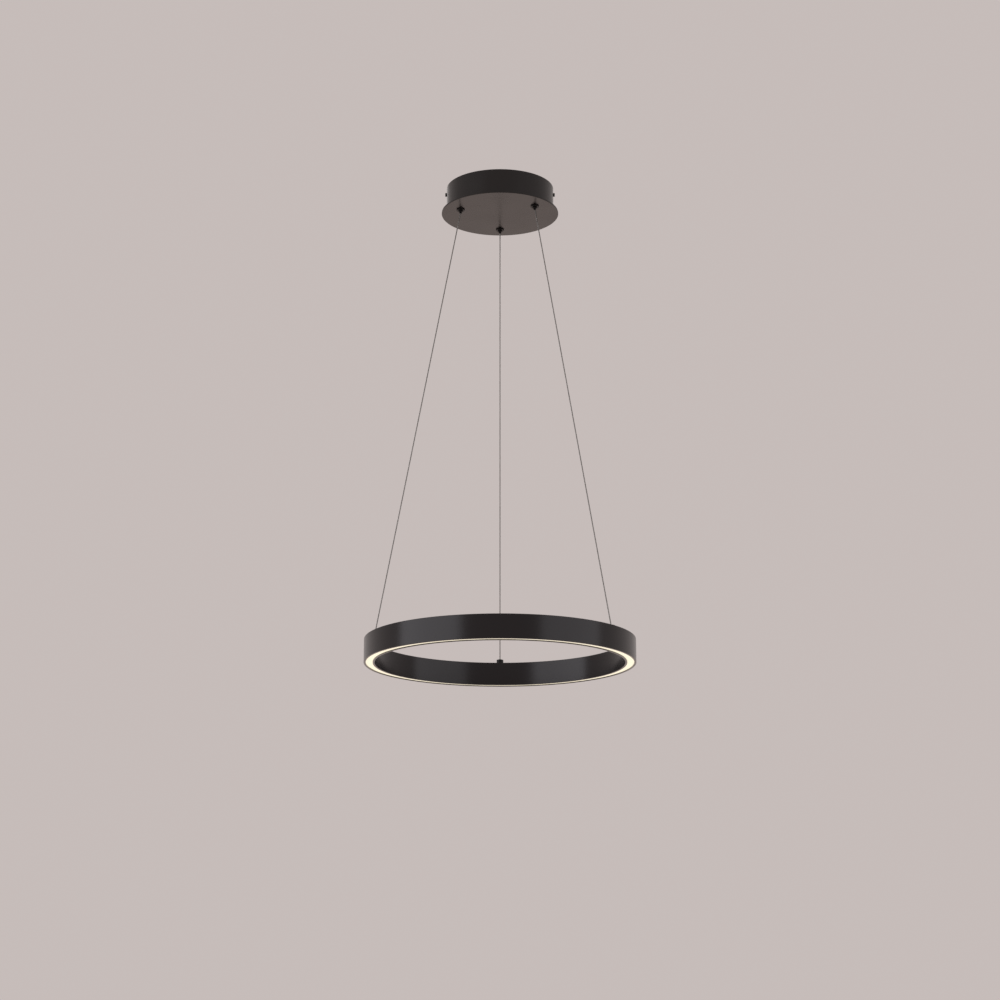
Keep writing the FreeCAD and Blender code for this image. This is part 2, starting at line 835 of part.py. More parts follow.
def add_lug(body, centre, angle, reach, radii, width, height, thickness, barrel, upward):
    """A ring lug with a tongue along an angle, whose end carries an upright crimp barrel."""
    (x, y), (outer, inner), (barrel_radius, barrel_height) = centre, radii, barrel
    start = (outer + inner) / 2
    pad(body, Drawing(body, "z", height).circle(x, y, outer).circle(x, y, inner), thickness)
    corners = [
        from_point(x, y, angle, start, -width / 2), from_point(x, y, angle, reach, -width / 2),
        from_point(x, y, angle, reach, width / 2), from_point(x, y, angle, start, width / 2),
    ]
    pad(body, Drawing(body, "z", height).outline(corners), thickness)
    end = from_point(x, y, angle, reach)
    base = height if upward else height + thickness - barrel_height
    pad(body, Drawing(body, "z", base).circle(*end, barrel_radius), barrel_height)
    bore = dims.lead_radius + dims.thread_clearance
    hole = Drawing(body, "z", base if not upward else base + barrel_height).circle(*end, bore)
    pocket(body, hole, barrel_height - thickness, upward=not upward)


def build_lead_lugs():
    """Lugs under the nuts of the two live grippers, and the earth lug under the bracket."""
    body = new_body("lead_lugs", many=True)
    barrel = (dims.lug_barrel_radius, dims.lug_barrel_height)
    for side in LIVE_SIDES:
        inward = WIRE_ANGLES[side] + Size(180, "180 deg")
        add_lug(
            body, at_gripper(side), inward, dims.lug_reach, (dims.lug_radius, stud_hole_radius),
            dims.lug_tongue_width, plate_face + lug_base, dims.lug_thickness, barrel, upward=True,
        )
    add_lug(
        body, (dims.earth_hole_place, as_size(0)), dims.rear_angle, earth_lug_reach(),
        (dims.earth_head_radius, dims.earth_screw_radius + dims.running_clearance), dims.lug_tongue_width,
        -dims.bracket_thickness - dims.lug_thickness, dims.lug_thickness, barrel, upward=False,
    )
    return body


def earth_lug_reach():
    return dims.bracket_width / 2 + dims.lug_barrel_radius + dims.running_clearance * 2


# Suspension wires

wire_top = plate_face + dims.stud_top + dims.wire_tail
bend_start = plate_face + nose_face + dims.mouth_depth
wire_spread = hanger_place_radius - gripper_place_radius - dims.wire_bend_radius
ball_end_drop = root(
    dims.ball_end_radius * dims.ball_end_radius - dims.hanger_throat_radius * dims.hanger_throat_radius
)


def head_top(side):
    """The height of a hanger's head over the ring. The ring's wall hides the low ones from below."""
    return dims.hanger_bush_height + (dims.low_head_height if side in LOW_SIDES else dims.tall_head_height)


def throat_height(side):
    return head_top(side) + dims.hanger_boss_height - dims.hanger_mouth_depth


def ball_end_height(side):
    return ring_top + throat_height(side) - ball_end_drop - dims.grip_clearance


def wire_tilt(side):
    """How far the wire's long run leans out from upright."""
    fall = bend_start - ball_end_height(side)
    span = root(fall * fall + wire_spread * wire_spread)
    return arc_tangent(wire_spread / fall) + arc_sine(dims.wire_bend_radius / span)


def build_wire(side):
    """Upright through the gripper, a short bend in its mouth, then straight to the ring."""
    body = new_body(f"wire_{side}")
    start, bend = gripper_place_radius, dims.wire_bend_radius
    centre, tilt, low = start + bend, wire_tilt(side), ball_end_height(side)
    leave_x, leave_z = centre - bend * cosine(tilt), bend_start - bend * sine(tilt)
    path = Drawing(body, "y")
    upright = path.add(Part.LineSegment(point_at(start, wire_top), point_at(start, bend_start)))
    arc = path.add_arc(centre, bend_start, bend, 180, 180 + tilt.value)
    slant = path.add(Part.LineSegment(point_at(leave_x, leave_z), point_at(hanger_place_radius, low)))
    path.pin(upright, START, start, wire_top)
    path.pin(upright, END, start, bend_start)
    path.pin(arc, CENTRE, centre, bend_start)
    path.sketch.addConstraint(Sketcher.Constraint("Coincident", arc, START, upright, END))
    path.pin(slant, END, hanger_place_radius, low)
    path.sketch.addConstraint(Sketcher.Constraint("Tangent", arc, END, slant, START))
    section = Drawing(body, "z", wire_top).circle(start, 0, dims.wire_radius)
    sweep(body, section, path)
    return place(body, turn=WIRE_ANGLES[side])


def build_wire_end(side):
    """The ball crimped on the wire's lower end, in line with the wire's slant."""
    body = new_body(f"wire_end_{side}")
    radius = dims.ball_end_radius
    bore = dims.wire_radius + dims.grip_clearance
    top = root(radius * radius - bore * bore)
    shape = Drawing(body, "y", turn=wire_tilt(side), shift=(hanger_place_radius, ball_end_height(side)))
    lower = shape.add(Part.LineSegment(point_at(0, -radius), point_at(0, 0)))
    seat = shape.add(Part.LineSegment(point_at(0, 0), point_at(bore, 0)))
    wall = shape.add(Part.LineSegment(point_at(bore, 0), point_at(bore, top)))
    start_angle = math.degrees(math.atan2(top.value, bore.value))
    curve = shape.add_arc(0, 0, radius, -90, start_angle)
    shape.pin(lower, START, 0, -radius)
    shape.pin(lower, END, 0, 0)
    shape.join(lower, seat)
    shape.pin(seat, END, bore, 0)
    shape.join(seat, wall)
    shape.hold("DistanceX", UPRIGHT, wall, END, bore)
    shape.pin(curve, CENTRE, 0, 0)
    shape.sketch.addConstraint(Sketcher.Constraint("Coincident", curve, START, lower, START))
    shape.sketch.addConstraint(Sketcher.Constraint("Coincident", curve, END, wall, END))
    revolve(body, shape)
    return place(body, turn=WIRE_ANGLES[side])


# Ring


def channel_wall(wall_radius, inward):
    """Points down a channel wall's inner face: ribs, bead and snap groove, from the web to the rim."""
    rib_base = -dims.rib_drop - dims.rib_height
    bead_top = rib_base - dims.board_thickness - dims.slide_clearance
    bead_base = bead_top - dims.bead_height
    groove_base = diffuser_face() + dims.diffuser_leg_height - dims.groove_height + dims.slide_clearance
    groove_top = groove_base + dims.groove_height
    rib = wall_radius + inward * dims.rib_reach
    bead = wall_radius + inward * dims.bead_reach
    groove = wall_radius - inward * dims.groove_depth
    return [
        (wall_radius, -dims.ring_web), (wall_radius, -dims.rib_drop), (rib, -dims.rib_drop),
        (rib, rib_base), (wall_radius, rib_base),
        (wall_radius, bead_top), (bead, (bead_top + bead_base) / 2), (wall_radius, bead_base),
        (wall_radius, groove_top), (groove, groove_top), (groove, groove_base),
        (wall_radius, groove_base), (wall_radius, -dims.ring_height),
    ]


def diffuser_face():
    return dims.diffuser_recess - dims.ring_height


def build_ring_profile():
    """The rolled extrusion, open below, with the hangers' holes through its web."""
    body = new_body("ring_profile")
    outer_side = channel_wall(channel_outer_radius, -1)
    inner_side = channel_wall(channel_inner_radius, 1)
    section = Drawing(body, "y").outline(
        [(ring_inner_radius, 0), (ring_inner_radius, -dims.ring_height)] + inner_side[::-1]
        + outer_side + [(dims.ring_radius, -dims.ring_height), (dims.ring_radius, 0)]
    )
    revolve(body, section)
    holes = Drawing(body, "z")
    for side in WIRE_ANGLES:
        holes.circle(*at_hanger(side), web_hole_radius)
    pocket(body, holes, dims.ring_web + dims.cut_overrun)
    for radius in (dims.ring_radius, ring_inner_radius):
        for height in (0, -dims.ring_height):
            finish_edges(body, "Chamfer", dims.ring_edge_chamfer, is_circle_at(radius, height))
    return place(body, z=ring_top)


def build_diffuser():
    """The opal channel: a flat face with two legs whose beads sit in the ring's grooves."""
    body = new_body("diffuser")
    low = diffuser_face()
    floor = low + dims.diffuser_thickness
    top = low + dims.diffuser_leg_height
    snap_base = top - dims.snap_height
    inner = channel_inner_radius + dims.slide_clearance
    outer = channel_outer_radius - dims.slide_clearance
    leg = dims.diffuser_leg_thickness
    section = Drawing(body, "y").outline([
        (inner, low), (outer, low), (outer, snap_base), (outer + dims.snap_reach, snap_base), (outer, top),
        (outer - leg, top), (outer - leg, floor), (inner + leg, floor), (inner + leg, top),
        (inner, top), (inner - dims.snap_reach, snap_base), (inner, snap_base),
    ])
    revolve(body, section)
    return place(body, z=ring_top)


board_top = -dims.rib_drop - dims.rib_height


def build_led_board(place_name, turn):
    """A quarter of the ring in aluminium-cored board, pressed up against the ribs."""
    body = new_body(f"led_board_{place_name}")
    inner = channel_inner_radius + dims.slide_clearance
    outer = channel_outer_radius - dims.slide_clearance
    half_gap = dims.board_gap / 2
    drawing = Drawing(body, "z", board_top - dims.board_thickness)
    corners = []
    for radius in (inner, outer):
        along = root(radius * radius - half_gap * half_gap)
        corners.append((radius, (along, half_gap), (half_gap, along)))
    (_, inner_start, inner_end), (_, outer_start, outer_end) = corners
    near = drawing.add(Part.LineSegment(point_at(*inner_start), point_at(*outer_start)))
    rim = drawing.add_arc(0, 0, outer, *arc_limits(outer, half_gap))
    far = drawing.add(Part.LineSegment(point_at(*outer_end), point_at(*inner_end)))
    hollow = drawing.add_arc(0, 0, inner, *arc_limits(inner, half_gap))
    meetings = (
        (near, END, rim, START), (rim, END, far, START),
        (far, END, hollow, END), (hollow, START, near, START),
    )
    for meeting in meetings:
        drawing.sketch.addConstraint(Sketcher.Constraint("Coincident", *meeting))
    for arc, radius in ((rim, outer), (hollow, inner)):
        drawing.pin(arc, CENTRE, 0, 0)
        drawing.radius(arc, radius)
        drawing.hold("DistanceY", ACROSS, arc, START, half_gap)
        drawing.hold("DistanceX", UPRIGHT, arc, END, half_gap)
    pad(body, drawing, dims.board_thickness)
    return place(body, z=ring_top, turn=turn)


def arc_limits(radius, half_gap):
    """Start and end angle of a quarter arc that stops short of the axes."""
    margin = math.degrees(math.asin(half_gap.value / radius.value))
    return margin, 90 - margin


def build_led_chips():
    """The light sources in a single row round the boards."""
    body = new_body("led_chips", many=True)
    count = dims.chips_per_board * dims.board_count
    half_pitch = Size(360, "360 deg") / (count * 2)
    corner = [
        from_point(
            channel_radius * cosine(half_pitch), channel_radius * sine(half_pitch), half_pitch,
            across * dims.chip_width / 2, along * dims.chip_length / 2,
        )
        for across, along in ((-1, -1), (1, -1), (1, 1), (-1, 1))
    ]
    drawing = Drawing(body, "z", board_top - dims.board_thickness - dims.chip_height).outline(corner)
    chip = pad(body, drawing, dims.chip_height)
    repeat(body, chip, count)
    return place(body, z=ring_top)


# Hangers


def build_hanger_bolt(side):
    """The hollow bolt that holds the wire's ball end: boss and mouth on top, open bore below."""
    body = new_body(f"hanger_bolt_{side}")
    seat, top, tip = dims.hanger_bush_height, head_top(side), -dims.hanger_shank_length
    boss_top, throat = top + dims.hanger_boss_height, throat_height(side)
    head, shank, bore = dims.hanger_head_radius, dims.hanger_shank_radius, dims.hanger_bore_radius
    shape = Drawing(body, "y").outline([
        (bore, tip), (shank, tip), (shank, seat), (head, seat), (head, top),
        (dims.hanger_boss_radius, top), (dims.hanger_boss_radius, boss_top),
        (dims.hanger_mouth_radius, boss_top), (dims.hanger_throat_radius, throat), (bore, throat),
    ])
    revolve(body, shape)
    finish_edges(body, "Chamfer", dims.gripper_edge_chamfer, is_circle_at(head, top))
    return place(body, *at_hanger(side), ring_top, WIRE_ANGLES[side])


def build_hanger_bushes():
    """Shoulder bushes that insulate the hangers from the ring."""
    places = [at_hanger(side) for side in WIRE_ANGLES]
    flanges = [(spot, dims.hanger_head_radius, hanger_hole_radius) for spot in places]
    sleeves = [(spot, hanger_bush_radius, hanger_hole_radius) for spot in places]
    return group_of_rings("hanger_bushes", [
        (ring_top, dims.hanger_bush_height, flanges), (ring_top - dims.ring_web, dims.ring_web, sleeves),
    ])


def build_hanger_washers():
    rings = [(at_hanger(side), dims.hanger_washer_radius, hanger_hole_radius) for side in WIRE_ANGLES]
    base = ring_top - dims.ring_web - dims.hanger_washer_thickness
    return group_of_rings("hanger_washers", [(base, dims.hanger_washer_thickness, rings)])


def hanger_nut_top(side):
    seat = ring_top - dims.ring_web - dims.hanger_washer_thickness
    return seat - dims.hanger_lug_thickness if side in LIVE_SIDES else seat


def build_hanger_nuts():
    return group_of_nuts("hanger_nuts", [
        (
            at_hanger(side), hanger_nut_top(side) - dims.hanger_nut_height, dims.hanger_nut_height,
            dims.hanger_nut_flats, dims.hanger_shank_radius + dims.thread_clearance, angle,
        )
        for side, angle in WIRE_ANGLES.items()
    ])


def build_hanger_lugs():
    """Lugs under the live hangers' nuts, with their barrels hanging down towards the boards."""
    body = new_body("hanger_lugs", many=True)
    barrel = (dims.hanger_lug_barrel_radius, dims.hanger_lug_barrel_height)
    for side in LIVE_SIDES:
        along_ring = WIRE_ANGLES[side] + Size(90, "90 deg")
        add_lug(
            body, at_hanger(side), along_ring, dims.hanger_lug_reach,
            (dims.hanger_washer_radius, hanger_hole_radius), dims.lug_tongue_width,
            hanger_nut_top(side), dims.hanger_lug_thickness, barrel, upward=False,
        )
    return body


def build_ring_leads():
    """Short stiff leads from the hangers' lugs down to the boards."""
    body = new_body("ring_leads", many=True)
    base = ring_top + board_top
    for side in LIVE_SIDES:
        spot = at_hanger(side, aside=dims.hanger_lug_reach)
        pad(body, Drawing(body, "z", base).circle(*spot, dims.lead_radius), hanger_nut_top(side) - base)
    return body


# Driver

tray_inner_floor = floor_top + dims.driver_wall
circuit_base = tray_inner_floor + dims.board_post_height
circuit_top = circuit_base + dims.board_thickness
lid_base = circuit_top + dims.driver_part_height + dims.lid_gap
driver_top = lid_base + dims.driver_wall

# The parts stand in a row on the board, and the cover, board and tray are as long as they need
choke_reach = dims.choke_radius + dims.choke_section_radius
row_length = dims.core_length + dims.capacitor_radius * 2 + choke_reach * 2 + dims.driver_part_gap * 4
core_place = (dims.core_length - row_length) / 2 + dims.driver_part_gap
capacitor_place = core_place + dims.core_length / 2 + dims.driver_part_gap + dims.capacitor_radius
choke_place = capacitor_place + dims.capacitor_radius + dims.driver_part_gap + choke_reach
cover_length = row_length + dims.driver_wall * 2
circuit_length = cover_length + (dims.cover_end_gap + dims.driver_terminal_length) * 2
circuit_width = dims.driver_width - (dims.driver_wall + dims.board_side_gap) * 2
driver_length = circuit_length + (dims.driver_wall + dims.board_side_gap) * 2
core_window = (dims.core_length - dims.core_leg) / 2 - dims.core_yoke


def build_driver_base():
    """The moulded tray with an ear at each end and posts for the circuit board."""
    body = new_body("driver_base")
    length, width, wall = driver_length, dims.driver_width, dims.driver_wall
    pad(body, Drawing(body, "z").box(as_size(0), as_size(0), length, width), dims.driver_tray_height)
    ears = Drawing(body, "z").box(
        as_size(0), as_size(0), length + dims.driver_ear_length * 2, dims.driver_ear_width
    )
    pad(body, ears, dims.driver_ear_height)
    inside = Drawing(body, "z", wall).box(as_size(0), as_size(0), length - wall * 2, width - wall * 2)
    pocket(body, inside, dims.driver_tray_height, upward=True)
    posts = Drawing(body, "z", wall / 2)
    edge = dims.board_post_radius + dims.board_side_gap
    post_x, post_y = circuit_length / 2 - edge, circuit_width / 2 - edge
    for x in (-1, 1):
        for y in (-1, 1):
            posts.circle(x * post_x, y * post_y, dims.board_post_radius)
    pad(body, posts, wall / 2 + dims.board_post_height)
    holes = Drawing(body, "z", dims.driver_ear_height)
    for side in (-1, 1):
        reach = side * (length + dims.driver_ear_length) / 2
        holes.circle(reach, 0, dims.weld_stud_radius + dims.screw_hole_clearance)
    pocket(body, holes, dims.driver_ear_height + dims.cut_overrun)
    return place(body, dims.driver_x, dims.driver_y, floor_top)


def build_driver_cover():
    """The lid over the middle of the tray, leaving the terminals at both ends open."""
    body = new_body("driver_cover")
    width, wall = dims.driver_width, dims.driver_wall
    base = floor_top + dims.driver_tray_height
    height = driver_top - base

    def is_top_edge(edge):
        return abs(edge.CenterOfMass.z - height.value) < dims.running_clearance.value

    pad(body, Drawing(body, "z").box(as_size(0), as_size(0), cover_length, width), height)
    inside = Drawing(body, "z").box(as_size(0), as_size(0), row_length, width - wall * 2)
    pocket(body, inside, height - wall, upward=True)
    finish_edges(body, "Chamfer", wall / 2, is_top_edge)
    return place(body, dims.driver_x, dims.driver_y, base)


def build_driver_board():
    body = new_body("driver_board")
    sheet_outline = Drawing(body, "z").box(as_size(0), as_size(0), circuit_length, circuit_width)
    pad(body, sheet_outline, dims.board_thickness)
    return place(body, dims.driver_x, dims.driver_y, circuit_base)


def build_transformer_core():
    """Two ferrite halves seen as one frame with a middle leg."""
    body = new_body("transformer_core")
    length, height = dims.core_length, dims.driver_part_height
    pad(body, Drawing(body, "y").box(as_size(0), height / 2, length, height), dims.core_depth, both=True)
    windows = Drawing(body, "y")
    for side in (-1, 1):
        middle = side * (dims.core_leg + core_window) / 2
        windows.box(middle, height / 2, core_window, height - dims.core_yoke * 2)
    pocket(body, windows)
    return place(body, dims.driver_x + core_place, dims.driver_y, circuit_top)


def build_transformer_winding():
    """The wound bobbin on the core's middle leg."""
    body = new_body("transformer_winding")
    gaps = dims.winding_gap * 2
    inner_length, inner_depth = dims.core_leg + gaps, dims.core_depth + gaps
    reach = (core_window - gaps) * 2
    ring = Drawing(body, "z").box(as_size(0), as_size(0), inner_length + reach, inner_depth + reach)
    ring.box(as_size(0), as_size(0), inner_length, inner_depth)
    pad(body, ring, dims.driver_part_height - dims.core_yoke * 2 - gaps)
    rise = dims.core_yoke + dims.winding_gap
    return place(body, dims.driver_x + core_place, dims.driver_y, circuit_top + rise)


def build_driver_capacitors():
    """Two smoothing capacitors standing on the board."""
    body = new_body("driver_capacitors", many=True)
    cans = Drawing(body, "z")
    for side in (-1, 1):
        cans.circle(0, side * dims.capacitor_pitch / 2, dims.capacitor_radius)
    pad(body, cans, dims.driver_part_height)
    return place(body, dims.driver_x + capacitor_place, dims.driver_y, circuit_top)


def build_driver_choke():
    """The wound ring core of the mains filter, lying on the board."""
    body = new_body("driver_choke")
    depth = dims.choke_section_radius * 2
    revolve(body, Drawing(body, "y").box(dims.choke_radius, depth / 2, depth, depth))
    return place(body, dims.driver_x + choke_place, dims.driver_y, circuit_top)


def driver_terminal_reach():
    return (circuit_length - dims.driver_terminal_length) / 2


def build_driver_terminals():
    """Push-in blocks for two leads at each end of the board."""
    body = new_body("driver_terminals", many=True)
    blocks = Drawing(body, "z")
    poles = Drawing(body, "z", dims.driver_terminal_height)
    for side in (-1, 1):
        reach = side * driver_terminal_reach()
        blocks.box(reach, as_size(0), dims.driver_terminal_length, dims.driver_terminal_width)
        for pole in (-1, 1):
            poles.circle(reach, pole * dims.driver_pole_offset, dims.driver_pole_radius)
    pad(body, blocks, dims.driver_terminal_height)
    pocket(body, poles, dims.driver_pole_depth)
    return place(body, dims.driver_x, dims.driver_y, circuit_top)


# Mains terminal


def mains_pole(index):
    return dims.mains_x + index * dims.mains_pitch


def build_mains_terminal():
    """A three-pole block with cross entries, held by two weld studs between its poles."""
    body = new_body("mains_terminal")
    block = Drawing(body, "z").box(as_size(0), as_size(0), dims.mains_length, dims.mains_width)
    pad(body, block, dims.mains_height)
    entries = Drawing(body, "y")
    screws = Drawing(body, "z", dims.mains_height)
    for index in (-1, 0, 1):
        entries.circle(index * dims.mains_pitch, dims.mains_entry_height, dims.mains_entry_radius)
        screws.circle(index * dims.mains_pitch, 0, dims.mains_screw_radius + dims.thread_clearance)
    pocket(body, entries)
    pocket(body, screws, dims.mains_height - dims.mains_entry_height)
    studs = Drawing(body, "z")
    for side in (-1, 1):
        studs.circle(side * dims.mains_pitch / 2, 0, dims.weld_stud_radius + dims.screw_hole_clearance)
    pocket(body, studs)
    return place(body, dims.mains_x, dims.mains_y, floor_top)


def build_terminal_screws():
    """The clamping screws of the three poles."""
    body = new_body("terminal_screws", many=True)
    low = dims.mains_entry_height + dims.lead_radius + dims.running_clearance
    screws = Drawing(body, "z", low)
    for index in (-1, 0, 1):
        screws.circle(index * dims.mains_pitch, 0, dims.mains_screw_radius)
    pad(body, screws, dims.mains_height - dims.mains_screw_depth - low)
    return place(body, dims.mains_x, dims.mains_y, floor_top)


def build_stud_nuts():
    """The nuts on the weld studs: two on the driver's ears, two on the mains terminal."""
    seats = [(spot, floor_top + dims.driver_ear_height) for spot in driver_stud_places()]
    seats += [(spot, floor_top + dims.mains_height) for spot in mains_stud_places()]
    bore = dims.weld_stud_radius + dims.thread_clearance
    return group_of_nuts("stud_nuts", [
        (spot, seat, dims.stud_nut_height, dims.stud_nut_flats, bore, dims.rear_angle)
        for spot, seat in seats
    ])


# Leads

over_cover = driver_top + dims.lead_over_cover


def lead(points):
    """A round lead along straight runs with a round bend at each corner."""
    corners = [point_at(*point) for point in points]
    bend = dims.lead_bend_radius.value
    edges, last = [], corners[0]
    for before, corner, after in zip(corners, corners[1:], corners[2:]):
        inward, outward = (before - corner).normalize(), (after - corner).normalize()
        half = inward.getAngle(outward) / 2
        trim = bend / math.tan(half)
        start, end = corner + inward * trim, corner + outward * trim
        middle_way = (inward + outward).normalize()
        middle = corner + middle_way * (bend / math.sin(half) - bend)
        edges += [Part.LineSegment(last, start).toShape(), Part.Arc(start, middle, end).toShape()]
        last = end
    edges.append(Part.LineSegment(last, corners[-1]).toShape())
    path = Part.Wire(edges)
    heading = corners[1] - corners[0]
    section = Part.Wire(Part.makeCircle(dims.lead_radius.value, corners[0], heading))
    return path.makePipeShell([section], True, True)


def lead_group(label, routes):
    group = doc.addObject("Part::Feature", label)
    group.Label = label
    group.Shape = Part.makeCompound([lead(route) for route in routes])
    group.Placement = FreeCAD.Placement()
    return group


def driver_pole(end, pole):
    """Top of one of the driver's lead entries: end -1 is the mains side, 1 the light's side."""
    x = dims.driver_x + end * driver_terminal_reach()
    return x, dims.driver_y + pole * dims.driver_pole_offset, circuit_top + dims.driver_terminal_height


def build_mains_leads():
    """Live and neutral, from the mains terminal's near side into the driver."""
    routes = []
    for index, pole, height in ((-1, 1, over_cover - dims.lead_beside_cover), (0, -1, over_cover)):
        x, block_side = mains_pole(index), dims.mains_y - dims.mains_width / 2
        entry = floor_top + dims.mains_entry_height
        side_run = block_side - dims.lead_side_run
        end_x, end_y, end_z = driver_pole(-1, pole)
        routes.append([
            (x, block_side + dims.lead_insertion, entry), (x, side_run, entry), (x, side_run, height),
            (end_x, end_y, height), (end_x, end_y, end_z - dims.lead_insertion),
        ])
    return lead_group("mains_leads", routes)


def build_earth_lead():
    """Protective earth, from the mains terminal up to the bracket."""
    x, block_side = mains_pole(1), dims.mains_y - dims.mains_width / 2
    entry, side_run = floor_top + dims.mains_entry_height, block_side - dims.lead_side_run
    barrel_base = dims.lug_barrel_height + dims.bracket_thickness
    return lead_group("earth_lead", [[
        (x, block_side + dims.lead_insertion, entry), (x, side_run, entry), (x, side_run, over_cover),
        (dims.earth_hole_place, earth_lug_reach(), over_cover),
        (dims.earth_hole_place, earth_lug_reach(), dims.lead_insertion - barrel_base),
    ]])


def build_output_leads():
    """The low voltage, from the driver to the lugs of the two live grippers."""
    routes = []
    for side, pole in (("right", -1), ("rear", 1)):
        x, y, z = driver_pole(1, pole)
        height = over_cover - dims.lead_beside_cover
        end_x, end_y = at_gripper(side, forward=dims.lug_reach)
        end_z = plate_face + lug_base + dims.lug_barrel_height
        route = [(x, y, z - dims.lead_insertion), (x, y, height)]
        if side == "rear":
            beside = dims.driver_y + dims.driver_width / 2 + dims.lead_side_run
            route.append((x, beside, height))
        routes.append(route + [(end_x, end_y, height), (end_x, end_y, end_z - dims.lead_insertion)])
    return lead_group("output_leads", routes)


def build_all():
    parts = [
        build_ceiling_bracket(), build_earth_screw(), build_canopy_cup(), build_canopy_plate(),
        build_side_screw("side_screw_right", 0), build_side_screw("side_screw_left", Size(180, "180 deg")),
        build_gripper_plugs(), build_gripper_bushes(), build_gripper_washers(), build_gripper_nuts(),
        build_lead_lugs(), build_ring_profile(), build_diffuser(), build_led_chips(),
        build_hanger_bushes(), build_hanger_washers(), build_hanger_nuts(), build_hanger_lugs(),
        build_ring_leads(),
        build_driver_base(), build_driver_cover(), build_driver_board(), build_transformer_core(),
        build_transformer_winding(), build_driver_capacitors(), build_driver_choke(),
        build_driver_terminals(), build_mains_terminal(), build_terminal_screws(), build_stud_nuts(),
        build_mains_leads(), build_earth_lead(), build_output_leads(),
    ]
    for side in WIRE_ANGLES:
        parts += [
            build_gripper_body(side), build_release_sleeve(side), build_gripper_balls(side),
            build_gripper_spring(side), build_wire(side), build_wire_end(side), build_hanger_bolt(side),
        ]
    for quarter, place_name in enumerate(("back_right", "back_left", "front_left", "front_right")):
        parts.append(build_led_board(place_name, Size(quarter * 90, f"{quarter * 90} deg")))
    return parts


def write_parts(parts):
    """Checks every object and writes each sub-part to a file of its own."""
    doc.recompute()
    for thing in doc.Objects:
        if "Invalid" in thing.State or "Error" in thing.State:
            raise ValueError(f"{thing.Name} did not build: {thing.State}")
    for part in parts:
        if part.Shape.isNull() or not part.Shape.isValid() or not part.Shape.Solids:
            raise ValueError(f"{part.Label} has no valid solid")
    os.makedirs("parts", exist_ok=True)
    for part in parts:
        part.Shape.exportStep(f"parts/{part.Label}.step")


write_parts(build_all())
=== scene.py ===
import math

import bpy
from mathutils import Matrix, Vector


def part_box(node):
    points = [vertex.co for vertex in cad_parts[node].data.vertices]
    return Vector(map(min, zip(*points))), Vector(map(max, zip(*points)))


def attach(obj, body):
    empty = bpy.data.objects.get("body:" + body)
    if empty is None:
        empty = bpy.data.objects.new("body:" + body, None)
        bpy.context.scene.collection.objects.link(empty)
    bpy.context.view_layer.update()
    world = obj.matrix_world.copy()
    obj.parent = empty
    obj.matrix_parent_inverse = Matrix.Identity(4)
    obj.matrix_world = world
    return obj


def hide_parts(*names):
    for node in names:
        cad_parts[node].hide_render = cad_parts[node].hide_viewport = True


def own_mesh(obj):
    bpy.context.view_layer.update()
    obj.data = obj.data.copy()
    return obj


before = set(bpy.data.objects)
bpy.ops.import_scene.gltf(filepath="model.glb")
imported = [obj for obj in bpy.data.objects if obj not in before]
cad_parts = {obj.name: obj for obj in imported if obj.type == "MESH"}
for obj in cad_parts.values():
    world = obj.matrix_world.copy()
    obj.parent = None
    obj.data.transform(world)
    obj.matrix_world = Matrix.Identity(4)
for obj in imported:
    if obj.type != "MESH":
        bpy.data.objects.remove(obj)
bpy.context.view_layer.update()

# Lengths are in metres, angles in degrees and colours are linear.
# The camera's sensor and lens are in millimetres.

# The camera that was fitted to the photograph
CAMERA_PLACE = (0.0, -3.292, -1.339)
CAMERA_PITCH = 14.36
SENSOR_WIDTH = 36.0
LENS = 81.8
CLIP_START = 0.05
CLIP_END = 100.0

# The room, with the share of the backdrop that gives light and of the floor that glows by itself
BACKDROP = (0.565, 0.505, 0.488, 1.0)
FLOOR = (0.96, 0.80, 0.74, 1.0)
AMBIENT_SHARE = 0.75
FLOOR_GLOW_SHARE = 0.7
FLOOR_ROUGHNESS = 0.9
FLOOR_REACH = 40.0
FLOOR_HEIGHT = -3.0
# Where the floor starts to fade into the backdrop, and where it has gone
FLOOR_FADE = (12.0, 30.0)
LAMP_TARGET = (0.0, 0.0, -0.45)

# The wires: the route of each in its own upright plane, as distance from the axis and height
GRIPPER_RADIUS = 0.064
HANGER_RADIUS = 0.1912
WIRE_TOP = -0.020
WIRE_CORNER = -0.04534
OVER_STRANDS = 0.0017
# Each wire's angle about the axis, the height of its ball end and its real length
SIDES = {
    "left": (199.2, -0.71028, 0.702),
    "right": (326.2, -0.71028, 0.702),
    "rear": (90.0, -0.70628, 0.698),
}
STRANDS = 12
POINTS_PER_STRAND = 4
# The share of each strand's round that isn't hidden between its neighbours
OPEN_SHARE = 0.62
TURN_LENGTH = 0.014
SECTION_STEP = 0.0016
CURVE_STEPS = 96
# The coil springs in the grippers: their upper ends stay against the plugs
SPRING_RADIUS = 0.00175
SPRING_WIRE_RADIUS = 0.00025
SPRING_TURNS = 5
SPRING_STEPS = 40
SPRING_POINTS = 14


# Camera
def make_camera():
    data = bpy.data.cameras.new("camera")
    data.sensor_width = SENSOR_WIDTH
    data.lens = LENS
    data.clip_start = CLIP_START
    data.clip_end = CLIP_END
    camera = bpy.data.objects.new("camera", data)
    camera.location = CAMERA_PLACE
    camera.rotation_euler = (math.radians(90.0 + CAMERA_PITCH), 0.0, 0.0)
    bpy.context.scene.collection.objects.link(camera)
    bpy.context.scene.camera = camera


make_camera()


